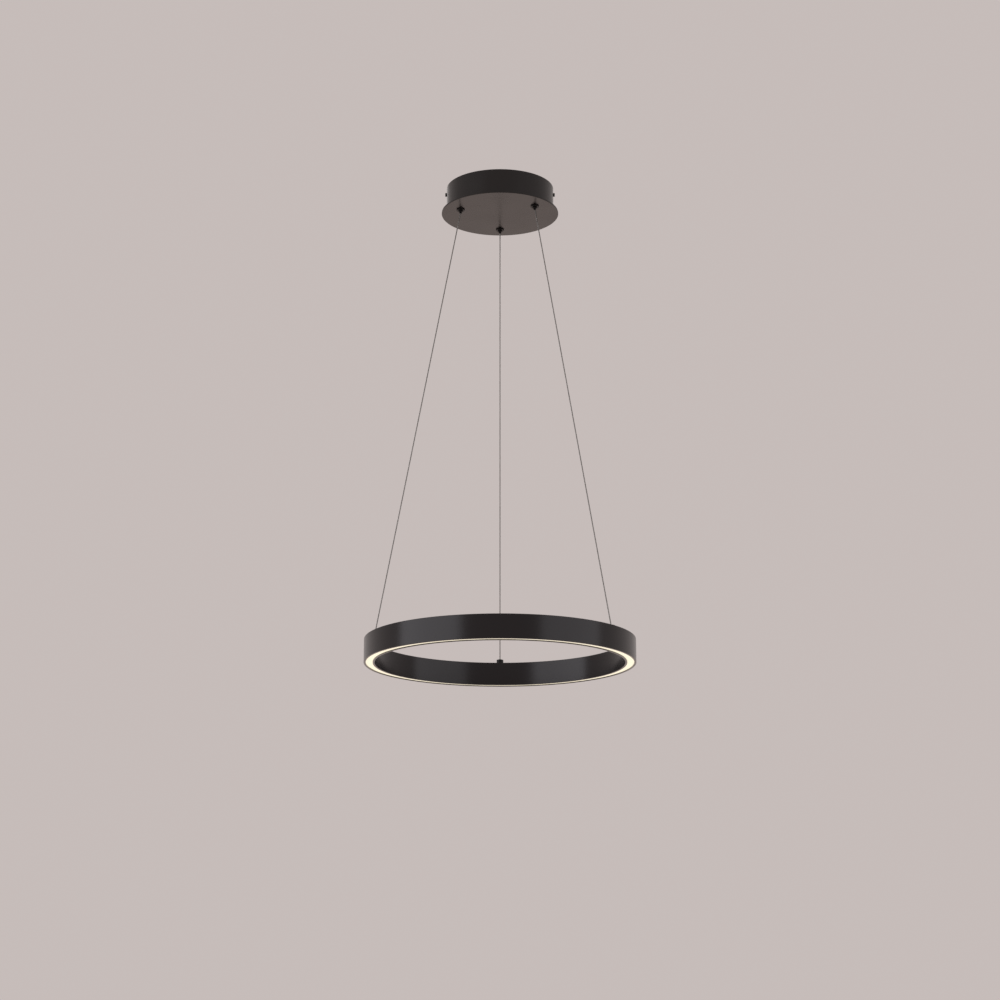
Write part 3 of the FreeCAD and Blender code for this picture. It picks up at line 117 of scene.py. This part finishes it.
# Wires
def wire_route(outward, wire_end):
    """The points of one wire: down through its gripper, round the corner, then out to the ring."""
    upright = WIRE_TOP - WIRE_CORNER
    run = Vector((HANGER_RADIUS - GRIPPER_RADIUS, 0.0, wire_end - WIRE_CORNER)).normalized()
    places = [
        (GRIPPER_RADIUS, WIRE_TOP),
        (GRIPPER_RADIUS, WIRE_CORNER),
        (GRIPPER_RADIUS + run.x * upright, WIRE_CORNER + run.z * upright),
        (HANGER_RADIUS, wire_end),
    ]
    return [outward * radius + Vector((0.0, 0.0, height)) for radius, height in places]


def smooth_line(name, points):
    """Points along the smooth NURBS curve that has these points as its control points."""
    curve = bpy.data.curves.new(name + "_line", "CURVE")
    curve.dimensions = "3D"
    curve.resolution_u = CURVE_STEPS
    spline = curve.splines.new("NURBS")
    spline.points.add(len(points) - 1)
    for place, point in zip(spline.points, points):
        place.co = (*point, 1.0)
    spline.order_u = 3
    spline.use_endpoint_u = True
    holder = bpy.data.objects.new(name + "_line", curve)
    bpy.context.scene.collection.objects.link(holder)
    bpy.context.view_layer.update()
    seen = holder.evaluated_get(bpy.context.evaluated_depsgraph_get())
    mesh = bpy.data.meshes.new_from_object(seen)
    line = [vertex.co.copy() for vertex in mesh.vertices]
    bpy.data.objects.remove(holder)
    bpy.data.curves.remove(curve)
    bpy.data.meshes.remove(mesh)
    return line


def resample(line, step):
    """The same line with its points one step apart."""
    lengths = [0.0]
    for first, second in zip(line, line[1:]):
        lengths.append(lengths[-1] + (second - first).length)
    count = max(2, round(lengths[-1] / step))
    places = []
    index = 0
    for number in range(count + 1):
        target = lengths[-1] * number / count
        while index < len(line) - 2 and lengths[index + 1] < target:
            index += 1
        run = max(lengths[index + 1] - lengths[index], 1e-9)
        places.append(line[index].lerp(line[index + 1], (target - lengths[index]) / run))
    return places


def strand_profile():
    """The outline of a round of strands about a core, as angle and radius."""
    outer = OVER_STRANDS / 2
    strand = outer / (1 + 1 / math.sin(math.pi / STRANDS))
    middle = outer - strand
    outline = []
    for number in range(STRANDS):
        turn = 2 * math.pi * number / STRANDS
        for point in range(POINTS_PER_STRAND):
            share = (point + 0.5) / POINTS_PER_STRAND - 0.5
            across = 2 * math.pi * share * OPEN_SHARE
            x = middle + strand * math.cos(across)
            y = strand * math.sin(across)
            outline.append((turn + math.atan2(y, x), math.hypot(x, y)))
    return outline


def direction(degrees):
    return Vector((math.cos(math.radians(degrees)), math.sin(math.radians(degrees)), 0.0))


def sweep(name, line, sides, outline, twist_step=0.0):
    """A closed tube: its outline, as angle and radius, stands square to the line and may twist."""
    vertices = []
    faces = []
    size = len(outline)
    for number, (place, across) in enumerate(zip(line, sides)):
        ahead = (line[min(number + 1, len(line) - 1)] - line[max(number - 1, 0)]).normalized()
        beside = ahead.cross(across).normalized()
        twist = twist_step * number
        for turn, radius in outline:
            vertices.append(
                place
                + across * (radius * math.cos(turn + twist))
                + beside * (radius * math.sin(turn + twist))
            )
    for number in range(len(line) - 1):
        for point in range(size):
            after = (point + 1) % size
            low = number * size
            faces.append((low + point, low + after, low + size + after, low + size + point))
    faces.append(tuple(reversed(range(size))))
    top = (len(line) - 1) * size
    faces.append(tuple(range(top, top + size)))
    mesh = bpy.data.meshes.new(name)
    mesh.from_pydata(vertices, [], faces)
    mesh.validate()
    mesh.shade_smooth()
    piece = bpy.data.objects.new(name, mesh)
    bpy.context.scene.collection.objects.link(piece)
    return piece


def make_wire(side, angle, wire_end, length):
    outward = direction(angle)
    name = "suspension_wire_" + side
    line = resample(smooth_line(name, wire_route(outward, wire_end)), SECTION_STEP)
    across = Vector((-outward.y, outward.x, 0.0))
    twist_step = 2 * math.pi * SECTION_STEP / TURN_LENGTH
    wire = sweep(name, line, [across] * len(line), strand_profile(), twist_step)
    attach(wire, "ring")
    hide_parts("wire_" + side)
    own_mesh(wire)
    return wire


WIRES = [make_wire(side, *values) for side, values in SIDES.items()]


# Springs
def make_spring(side, angle):
    """The coil over a gripper's cage, built at its rest length; on the lamp it shortens as its release
    sleeve is pressed.
    """
    node = "gripper_spring_" + side
    low, high = (corner[2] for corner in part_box(node))
    start, rise = low + SPRING_WIRE_RADIUS, high - low - 2 * SPRING_WIRE_RADIUS
    middle = direction(angle) * GRIPPER_RADIUS
    count = SPRING_TURNS * SPRING_STEPS
    sides = [direction(angle + 360.0 * number / SPRING_STEPS) for number in range(count + 1)]
    line = [
        middle + outward * SPRING_RADIUS + Vector((0.0, 0.0, start + rise * number / count))
        for number, outward in enumerate(sides)
    ]
    outline = [
        (2 * math.pi * point / SPRING_POINTS, SPRING_WIRE_RADIUS) for point in range(SPRING_POINTS)
    ]
    spring = sweep("coil_spring_" + side, line, sides, outline)
    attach(spring, "canopy")
    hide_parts(node)
    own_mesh(spring)
    return spring


SPRINGS = [make_spring(side, values[0]) for side, values in SIDES.items()]


# Material parts
# Where the values mostly lie: of one noise, of the sum of two, of a crystal's tone with a noise, of cells
NOISE_RANGE = (0.3, 0.7)
NOISE_SUM_RANGE = (0.7, 1.3)
CRYSTAL_SUM_RANGE = (0.3, 1.7)
CELL_RANGE = (0.1, 0.7)
BEVEL_SAMPLES = 4
# The share that the lines have in a rolled coating's relief
LINES_SHARE = 0.6
# The scale of a metal's clouds, as a share of its grain's
CLOUD_SHARE = 0.05
# The tracks on a board: how many run round each field, where their edge rises, and how much they show
TRACK_ROUNDS = 5.0
TRACK_EDGE = (0.64, 0.70)
TRACK_SHOWN = 0.75
# Leads: their gloss, the lighter tone of their grain, and the stripe of a second colour
LEAD_ROUGHNESS = 0.42
LEAD_GAIN = 1.35
LEAD_LIFT = 0.004
STRIPE_SCALE = 110.0
STRIPE_EDGE = (0.48, 0.56)


def direct_rays(tree):
    """1 for what the camera, a reflection or a clear material sees, and 0 for light on other things."""
    path = tree.nodes.new("ShaderNodeLightPath")
    seen = path.outputs["Is Camera Ray"]
    for kind in ("Is Glossy Ray", "Is Transmission Ray"):
        larger = tree.nodes.new("ShaderNodeMath")
        larger.operation = "MAXIMUM"
        tree.links.new(seen, larger.inputs[0])
        tree.links.new(path.outputs[kind], larger.inputs[1])
        seen = larger.outputs[0]
    return seen


class Maker:
    """One node material, built a node at a time."""

    def __init__(self, name):
        self.material = bpy.data.materials.new(name)
        self.material.use_nodes = True
        self.tree = self.material.node_tree
        self.shader = self.tree.nodes["Principled BSDF"]
        self.place = self.node("ShaderNodeTexCoord").outputs["Object"]

    def node(self, kind, **settings):
        made = self.tree.nodes.new(kind)
        for key, value in settings.items():
            setattr(made, key, value)
        return made

    def join(self, source, target):
        self.tree.links.new(source, target)

    def set(self, **values):
        for key, value in values.items():
            socket = self.shader.inputs[key.replace("_", " ")]
            if hasattr(value, "is_output"):
                self.join(value, socket)
            else:
                socket.default_value = value

    def calc(self, operation, first, second=0.0):
        made = self.node("ShaderNodeMath", operation=operation)
        for socket, value in zip(made.inputs, (first, second)):
            if hasattr(value, "is_output"):
                self.join(value, socket)
            else:
                socket.default_value = value
        return made.outputs[0]

    def noise(self, scale, detail=3.0, roughness=0.55, place=None):
        made = self.node("ShaderNodeTexNoise")
        made.inputs["Scale"].default_value = scale
        made.inputs["Detail"].default_value = detail
        made.inputs["Roughness"].default_value = roughness
        self.join(place or self.place, made.inputs["Vector"])
        return made.outputs["Fac"]

    def cells(self, scale, output="Distance", randomness=1.0, **settings):
        made = self.node("ShaderNodeTexVoronoi", **settings)
        made.inputs["Scale"].default_value = scale
        made.inputs["Randomness"].default_value = randomness
        self.join(self.place, made.inputs["Vector"])
        return made.outputs[output]

    def wave(self, scale, distortion=0.0, **settings):
        made = self.node("ShaderNodeTexWave", wave_type="BANDS", **settings)
        made.inputs["Scale"].default_value = scale
        made.inputs["Distortion"].default_value = distortion
        self.join(self.place, made.inputs["Vector"])
        return made.outputs["Fac"]

    def ranged(self, value, low=0.0, high=1.0, reach=NOISE_RANGE):
        """The value's reach, stretched or shrunk to lie between low and high."""
        made = self.node("ShaderNodeMapRange")
        made.inputs["From Min"].default_value = reach[0]
        made.inputs["From Max"].default_value = reach[1]
        made.inputs["To Min"].default_value = low
        made.inputs["To Max"].default_value = high
        self.join(value, made.inputs["Value"])
        return made.outputs["Result"]

    def varied(self, value, middle, least, most, reach=NOISE_RANGE):
        """A size that changes with the value, between two shares of its middle."""
        return self.ranged(value, middle * least, middle * most, reach)

    def mixed(self, share, first, second):
        made = self.node("ShaderNodeMix", data_type="RGBA")
        for name, value in (("Factor", share), ("A", first), ("B", second)):
            socket = next(s for s in made.inputs if s.name == name and s.enabled)
            if hasattr(value, "is_output"):
                self.join(value, socket)
            elif name == "Factor":
                socket.default_value = value
            else:
                socket.default_value = (*value, 1.0)
        return next(s for s in made.outputs if s.enabled)

    def blended(self, share, first, second):
        made = self.node("ShaderNodeMixShader")
        for source, socket in zip((share, first, second), made.inputs):
            self.join(source, socket)
        return made.outputs[0]

    def bump(self, height, depth, strength=1.0, edge=0.0):
        made = self.node("ShaderNodeBump")
        made.inputs["Strength"].default_value = strength
        made.inputs["Distance"].default_value = depth
        self.join(height, made.inputs["Height"])
        if edge:
            rounded = self.node("ShaderNodeBevel", samples=BEVEL_SAMPLES)
            rounded.inputs["Radius"].default_value = edge
            self.join(rounded.outputs["Normal"], made.inputs["Normal"])
        self.join(made.outputs["Normal"], self.shader.inputs["Normal"])

    def round_place(self, along, across, upward):
        """Coordinates along, across and up a part that is turned or rolled about the lamp's axis."""
        parts = self.node("ShaderNodeSeparateXYZ")
        self.join(self.place, parts.inputs[0])
        x, y, z = parts.outputs
        angle = self.calc("ARCTAN2", y, x)
        squares = self.calc("ADD", self.calc("MULTIPLY", x, x), self.calc("MULTIPLY", y, y))
        radius = self.calc("SQRT", squares)
        whole = self.node("ShaderNodeCombineXYZ")
        for socket, value, scale in zip(whole.inputs, (angle, radius, z), (along, across, upward)):
            self.join(self.calc("MULTIPLY", value, scale), socket)
        return whole.outputs[0]


def satin_paint(name, colour, light, roughness, grain, depth, ior, edge):
    """Satin coating: a fine even grain, faint cloudy change of tone, edges that catch the light."""
    make = Maker(name)
    cloud = make.noise(scale=22.0, detail=4.0)
    speck = make.noise(scale=grain, detail=2.0)
    tone = make.ranged(make.calc("ADD", cloud, speck), reach=NOISE_SUM_RANGE)
    make.set(
        Base_Color=make.mixed(tone, colour, light),
        Roughness=make.varied(cloud, roughness, least=0.92, most=1.08),
        IOR=ior,
    )
    make.bump(speck, depth, edge=edge)
    return make.material


def rolled_paint(name, colour, light, roughness, grain, depth, ior, edge):
    """Satin coating over an extrusion that is rolled to a ring: faint lines run round it."""
    make = Maker(name)
    cloud = make.noise(scale=18.0, detail=4.0)
    round_ring = make.round_place(along=3.0, across=grain, upward=grain)
    lines = make.noise(scale=1.0, detail=3.0, roughness=0.6, place=round_ring)
    speck = make.noise(scale=grain, detail=2.0)
    relief = make.calc(
        "ADD", make.calc("MULTIPLY", lines, LINES_SHARE), make.calc("MULTIPLY", speck, 1 - LINES_SHARE)
    )
    uneven = make.calc("ADD", cloud, lines)
    make.set(
        Base_Color=make.mixed(make.ranged(uneven, reach=NOISE_SUM_RANGE), colour, light),
        Roughness=make.varied(uneven, roughness, least=0.9, most=1.1, reach=NOISE_SUM_RANGE),
        IOR=ior,
    )
    make.bump(relief, depth, edge=edge)
    return make.material


def metal(name, colour, dark, roughness, grain, depth, edge):
    """Plated or drawn metal: tone and gloss change a little with a fine grain."""
    make = Maker(name)
    cloud = make.noise(scale=grain * CLOUD_SHARE, detail=3.0)
    speck = make.noise(scale=grain, detail=3.0)
    make.set(
        Base_Color=make.mixed(make.ranged(cloud), colour, dark),
        Roughness=make.varied(speck, roughness, least=0.85, most=1.2),
        Metallic=1.0,
    )
    make.bump(speck, depth, edge=edge)
    return make.material


def galvanised(name, colour, dark, roughness, crystal, grain, depth, edge):
    """Zinc-coated sheet: crystals of slightly different tone."""
    make = Maker(name)
    tone = make.node("ShaderNodeSeparateColor")
    make.join(make.cells(crystal, "Color"), tone.inputs[0])
    streak = make.noise(scale=90.0, detail=4.0)
    uneven = make.calc("ADD", tone.outputs[1], streak)
    make.set(
        Base_Color=make.mixed(tone.outputs[0], colour, dark),
        Roughness=make.varied(uneven, roughness, least=0.75, most=1.2, reach=CRYSTAL_SUM_RANGE),
        Metallic=1.0,
    )
    make.bump(make.noise(scale=grain, detail=3.0), depth, edge=edge)
    return make.material


def moulded(name, colour, light, roughness, grain, depth, edge=0.0003, **more):
    """Moulded plastic: an even leathery grain, dull with a soft sheen."""
    make = Maker(name)
    speck = make.cells(grain)
    cloud = make.noise(scale=40.0, detail=3.0)
    make.set(
        Base_Color=make.mixed(make.ranged(cloud), colour, light),
        Roughness=make.varied(speck, roughness, least=0.9, most=1.1, reach=CELL_RANGE),
        **more,
    )
    make.bump(speck, depth, edge=edge)
    return make.material


def circuit(name, colour, track, roughness, pitch):
    """Solder mask with the copper tracks showing through it as raised lines of another tone."""
    make = Maker(name)
    fields = make.cells(pitch, randomness=0.75, distance="CHEBYCHEV")
    turns = make.calc("FRACT", make.calc("MULTIPLY", fields, TRACK_ROUNDS))
    tracks = make.ranged(turns, reach=TRACK_EDGE)
    cloud = make.noise(scale=60.0, detail=3.0)
    make.set(
        Base_Color=make.mixed(make.calc("MULTIPLY", tracks, TRACK_SHOWN), colour, track),
        Roughness=make.varied(cloud, roughness, least=0.9, most=1.15),
    )
    make.bump(tracks, depth=0.00003, strength=0.6, edge=0.0002)
    return make.material


def wound(name, colour, dark, roughness, bands):
    """Tape wound round a former: the edges of its turns show as fine steps."""
    make = Maker(name)
    steps = make.wave(bands, distortion=0.6, bands_direction="Z", wave_profile="SAW")
    make.set(Base_Color=make.mixed(steps, dark, colour), Roughness=roughness)
    make.bump(steps, depth=0.00006, strength=0.7)
    return make.material


def insulation(name, colour, second=None):
    """Soft insulation of a lead, with a second colour running along it where it has one."""
    make = Maker(name)
    speck = make.noise(scale=2200.0, detail=2.0)
    light = tuple(channel * LEAD_GAIN + LEAD_LIFT for channel in colour)
    shade = make.mixed(make.ranged(speck), colour, light)
    if second:
        stripe = make.wave(STRIPE_SCALE, bands_direction="DIAGONAL")
        shade = make.mixed(make.ranged(stripe, reach=STRIPE_EDGE), shade, second)
    make.set(Base_Color=shade, Roughness=make.varied(speck, LEAD_ROUGHNESS, least=0.9, most=1.15))
    make.bump(speck, depth=0.00001)
    return make.material


def opal_glow(name, glow, glow_light, strength, colour, light):
    """Opal diffuser, lit from behind: warm, with a faint cloudy change of tone and a fine grain."""
    make = Maker(name)
    cloud = make.noise(scale=35.0, detail=3.0)
    speck = make.noise(scale=3200.0, detail=2.0)
    make.set(
        Base_Color=make.mixed(make.ranged(speck), colour, light),
        Roughness=make.ranged(speck, 0.40, 0.52),
        Emission_Color=make.mixed(make.ranged(cloud), glow, glow_light),
        Emission_Strength=strength,
    )
    make.bump(speck, depth=0.000006)
    return make.material


# How each slot's material is made. Grain, crystal, pitch and bands are texture scales,
# and depth and edge are lengths.
RECIPES = {
    "canopy_paint": (satin_paint, dict(
        colour=(0.0044, 0.0030, 0.0027), light=(0.0060, 0.0042, 0.0038), roughness=0.27,
        grain=2400.0, depth=0.000005, ior=1.45, edge=0.0004,
    )),
    "ring_paint": (rolled_paint, dict(
        colour=(0.0046, 0.0030, 0.0042), light=(0.0061, 0.0041, 0.0056), roughness=0.22,
        grain=2600.0, depth=0.00001, ior=1.42, edge=0.0004,
    )),
    "fitting_black": (satin_paint, dict(
        colour=(0.0024, 0.0022, 0.0022), light=(0.0034, 0.0032, 0.0032), roughness=0.40,
        grain=4200.0, depth=0.000005, ior=1.32, edge=0.0002,
    )),
    "zinc_steel": (galvanised, dict(
        colour=(0.62, 0.63, 0.65), dark=(0.48, 0.50, 0.53), roughness=0.38,
        crystal=260.0, grain=1400.0, depth=0.000012, edge=0.0002,
    )),
    "plated_nut": (metal, dict(
        colour=(0.68, 0.68, 0.67), dark=(0.56, 0.56, 0.56), roughness=0.28,
        grain=2600.0, depth=0.000008, edge=0.0001,
    )),
    "wire_steel": (metal, dict(
        colour=(0.29, 0.285, 0.275), dark=(0.22, 0.216, 0.207), roughness=0.36,
        grain=6000.0, depth=0.000004, edge=0.0,
    )),
    "spring_steel": (metal, dict(
        colour=(0.46, 0.45, 0.43), dark=(0.34, 0.33, 0.32), roughness=0.30,
        grain=5200.0, depth=0.000004, edge=0.0,
    )),
    "ball_steel": (metal, dict(
        colour=(0.72, 0.72, 0.73), dark=(0.66, 0.66, 0.67), roughness=0.14,
        grain=3600.0, depth=0.000002, edge=0.0,
    )),
    "opal": (opal_glow, dict(
        glow=(1.0, 0.935, 0.69), glow_light=(1.0, 0.95, 0.72), strength=0.775,
        colour=(0.50, 0.48, 0.43), light=(0.56, 0.54, 0.49),
    )),
    "nylon": (moulded, dict(
        colour=(0.0042, 0.0040, 0.0040), light=(0.0060, 0.0058, 0.0058), roughness=0.44,
        grain=2600.0, depth=0.000006,
    )),
    "driver_white": (moulded, dict(
        colour=(0.78, 0.78, 0.76), light=(0.83, 0.83, 0.81), roughness=0.46,
        grain=1500.0, depth=0.00002,
    )),
    "terminal_clear": (moulded, dict(
        colour=(0.80, 0.78, 0.70), light=(0.86, 0.84, 0.77), roughness=0.22,
        grain=1200.0, depth=0.000004, Subsurface_Weight=0.3, Subsurface_Scale=0.002,
    )),
    "circuit_green": (circuit, dict(
        colour=(0.012, 0.105, 0.040), track=(0.060, 0.230, 0.090), roughness=0.36, pitch=95.0,
    )),
    "led_board_white": (circuit, dict(
        colour=(0.80, 0.80, 0.77), track=(0.70, 0.70, 0.68), roughness=0.42, pitch=60.0,
    )),
    "led_yellow": (moulded, dict(
        colour=(0.86, 0.66, 0.10), light=(0.92, 0.74, 0.18), roughness=0.34,
        grain=3000.0, depth=0.00001, Subsurface_Weight=0.2, Subsurface_Scale=0.0006,
    )),
    "ferrite": (moulded, dict(
        colour=(0.030, 0.030, 0.032), light=(0.050, 0.050, 0.052), roughness=0.62,
        grain=2600.0, depth=0.00002,
    )),
    "winding_tape": (wound, dict(
        colour=(0.80, 0.58, 0.06), dark=(0.62, 0.42, 0.03), roughness=0.32, bands=180.0,
    )),
    "capacitor_sleeve": (moulded, dict(
        colour=(0.010, 0.016, 0.045), light=(0.018, 0.026, 0.065), roughness=0.30,
        grain=900.0, depth=0.000004,
    )),
    "tinned_copper": (metal, dict(
        colour=(0.74, 0.71, 0.66), dark=(0.66, 0.60, 0.52), roughness=0.32,
        grain=3000.0, depth=0.000006, edge=0.0001,
    )),
    "lead_black": (insulation, dict(colour=(0.012, 0.012, 0.012))),
    "lead_brown": (insulation, dict(colour=(0.115, 0.045, 0.018))),
    "lead_green": (insulation, dict(colour=(0.030, 0.210, 0.035), second=(0.72, 0.58, 0.03))),
}
MATERIALS = {name: recipe(name, **values) for name, (recipe, values) in RECIPES.items()}

# The start of a node's name, or the whole, and the slot it is finished with
FINISHES = {
    "canopy_cup": "canopy_paint",
    "canopy_plate": "canopy_paint",
    "ceiling_bracket": "zinc_steel",
    "earth_screw": "plated_nut",
    "gripper_plugs": "plated_nut",
    "gripper_nuts": "plated_nut",
    "terminal_screws": "plated_nut",
    "stud_nuts": "plated_nut",
    "hanger_nuts": "plated_nut",
    "gripper_bushes": "nylon",
    "gripper_washers": "nylon",
    "hanger_bushes": "nylon",
    "hanger_washers": "nylon",
    "lead_lugs": "tinned_copper",
    "hanger_lugs": "tinned_copper",
    "driver_base": "driver_white",
    "driver_cover": "driver_white",
    "driver_board": "circuit_green",
    "transformer_core": "ferrite",
    "driver_choke": "ferrite",
    "transformer_winding": "winding_tape",
    "driver_capacitors": "capacitor_sleeve",
    "driver_terminals": "terminal_clear",
    "mains_terminal": "terminal_clear",
    "mains_leads": "lead_brown",
    "earth_lead": "lead_green",
    "output_leads": "lead_black",
    "ring_leads": "lead_black",
    "gripper_body": "fitting_black",
    "release_sleeve": "fitting_black",
    "hanger_bolt": "fitting_black",
    "side_screw": "fitting_black",
    "gripper_spring": "spring_steel",
    "gripper_balls": "ball_steel",
    "wire_end": "ball_steel",
    "wire_": "wire_steel",
    "ring_profile": "ring_paint",
    "diffuser": "opal",
    "led_chips": "led_yellow",
    "led_board": "led_board_white",
}


def finish_nodes():
    for name in sorted(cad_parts):
        starts = [start for start in FINISHES if name.startswith(start)]
        if not starts:
            raise ValueError("no finish is named for " + name)
        material = MATERIALS[FINISHES[max(starts, key=len)]]
        for place in bpy.data.objects[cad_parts[name].name].material_slots:
            place.material = material
    for pieces, slot in ((WIRES, "wire_steel"), (SPRINGS, "spring_steel")):
        for piece in pieces:
            piece.data.materials.append(MATERIALS[slot])


finish_nodes()


# Floor
def make_floor():
    ends = (-FLOOR_REACH, FLOOR_REACH)
    corners = [(x, y, FLOOR_HEIGHT) for y in ends for x in ends]
    mesh = bpy.data.meshes.new("floor")
    mesh.from_pydata(corners, [], [(0, 1, 3, 2)])
    floor = bpy.data.objects.new("floor", mesh)
    bpy.context.scene.collection.objects.link(floor)
    make = Maker("floor")
    make.set(Base_Color=FLOOR, Roughness=FLOOR_ROUGHNESS)
    glow = make.node("ShaderNodeEmission")
    glow.inputs["Color"].default_value = FLOOR
    glow_share = make.calc("MULTIPLY", direct_rays(make.tree), FLOOR_GLOW_SHARE)
    lit = make.blended(glow_share, make.shader.outputs[0], glow.outputs[0])
    away = make.node("ShaderNodeVectorMath", operation="LENGTH")
    make.join(make.place, away.inputs[0])
    gone = make.ranged(away.outputs["Value"], reach=FLOOR_FADE)
    clear = make.node("ShaderNodeBsdfTransparent")
    faded = make.blended(gone, lit, clear.outputs[0])
    make.join(faded, make.tree.nodes["Material Output"].inputs["Surface"])
    mesh.materials.append(make.material)


# Light
def make_world():
    """The pale backdrop that the camera and reflections see, and its lower level as soft light."""
    world = bpy.data.worlds.new("studio")
    world.use_nodes = True
    tree = world.node_tree
    level = tree.nodes.new("ShaderNodeMapRange")
    level.inputs["To Min"].default_value = AMBIENT_SHARE
    level.inputs["To Max"].default_value = 1.0
    tree.links.new(direct_rays(tree), level.inputs["Value"])
    background = tree.nodes["Background"]
    background.inputs["Color"].default_value = BACKDROP
    tree.links.new(level.outputs["Result"], background.inputs["Strength"])
    bpy.context.scene.world = world


def soft_box(name, azimuth, elevation, distance, width, height, radiance, colour):
    """A large soft lamp aimed at the middle of the object. Radiance 1 reads as white."""
    turn, rise = math.radians(azimuth), math.radians(elevation)
    back = Vector((math.sin(turn) * math.cos(rise), -math.cos(turn) * math.cos(rise), math.sin(rise)))
    data = bpy.data.lights.new(name, "AREA")
    data.shape = "RECTANGLE"
    data.size = width
    data.size_y = height
    data.energy = radiance * math.pi * width * height
    data.color = colour
    lamp = bpy.data.objects.new(name, data)
    lamp.location = Vector(LAMP_TARGET) + back * distance
    lamp.rotation_mode = "QUATERNION"
    lamp.rotation_quaternion = back.to_track_quat("Z", "Y")
    lamp.visible_camera = False
    bpy.context.scene.collection.objects.link(lamp)


make_floor()
make_world()
soft_box(
    "lamp_left", azimuth=-60.5, elevation=6.0, distance=3.4,
    width=3.7, height=1.5, radiance=1.60, colour=(0.95, 0.94, 1.0),
)
soft_box(
    "lamp_right", azimuth=61.0, elevation=6.0, distance=3.4,
    width=3.6, height=1.5, radiance=0.90, colour=(0.96, 0.95, 1.0),
)
soft_box(
    "lamp_back", azimuth=186.0, elevation=35.0, distance=3.6,
    width=2.6, height=1.6, radiance=0.50, colour=(1.0, 0.98, 0.96),
)

bpy.context.scene.view_settings.view_transform = "Standard"

bpy.context.view_layer.update()
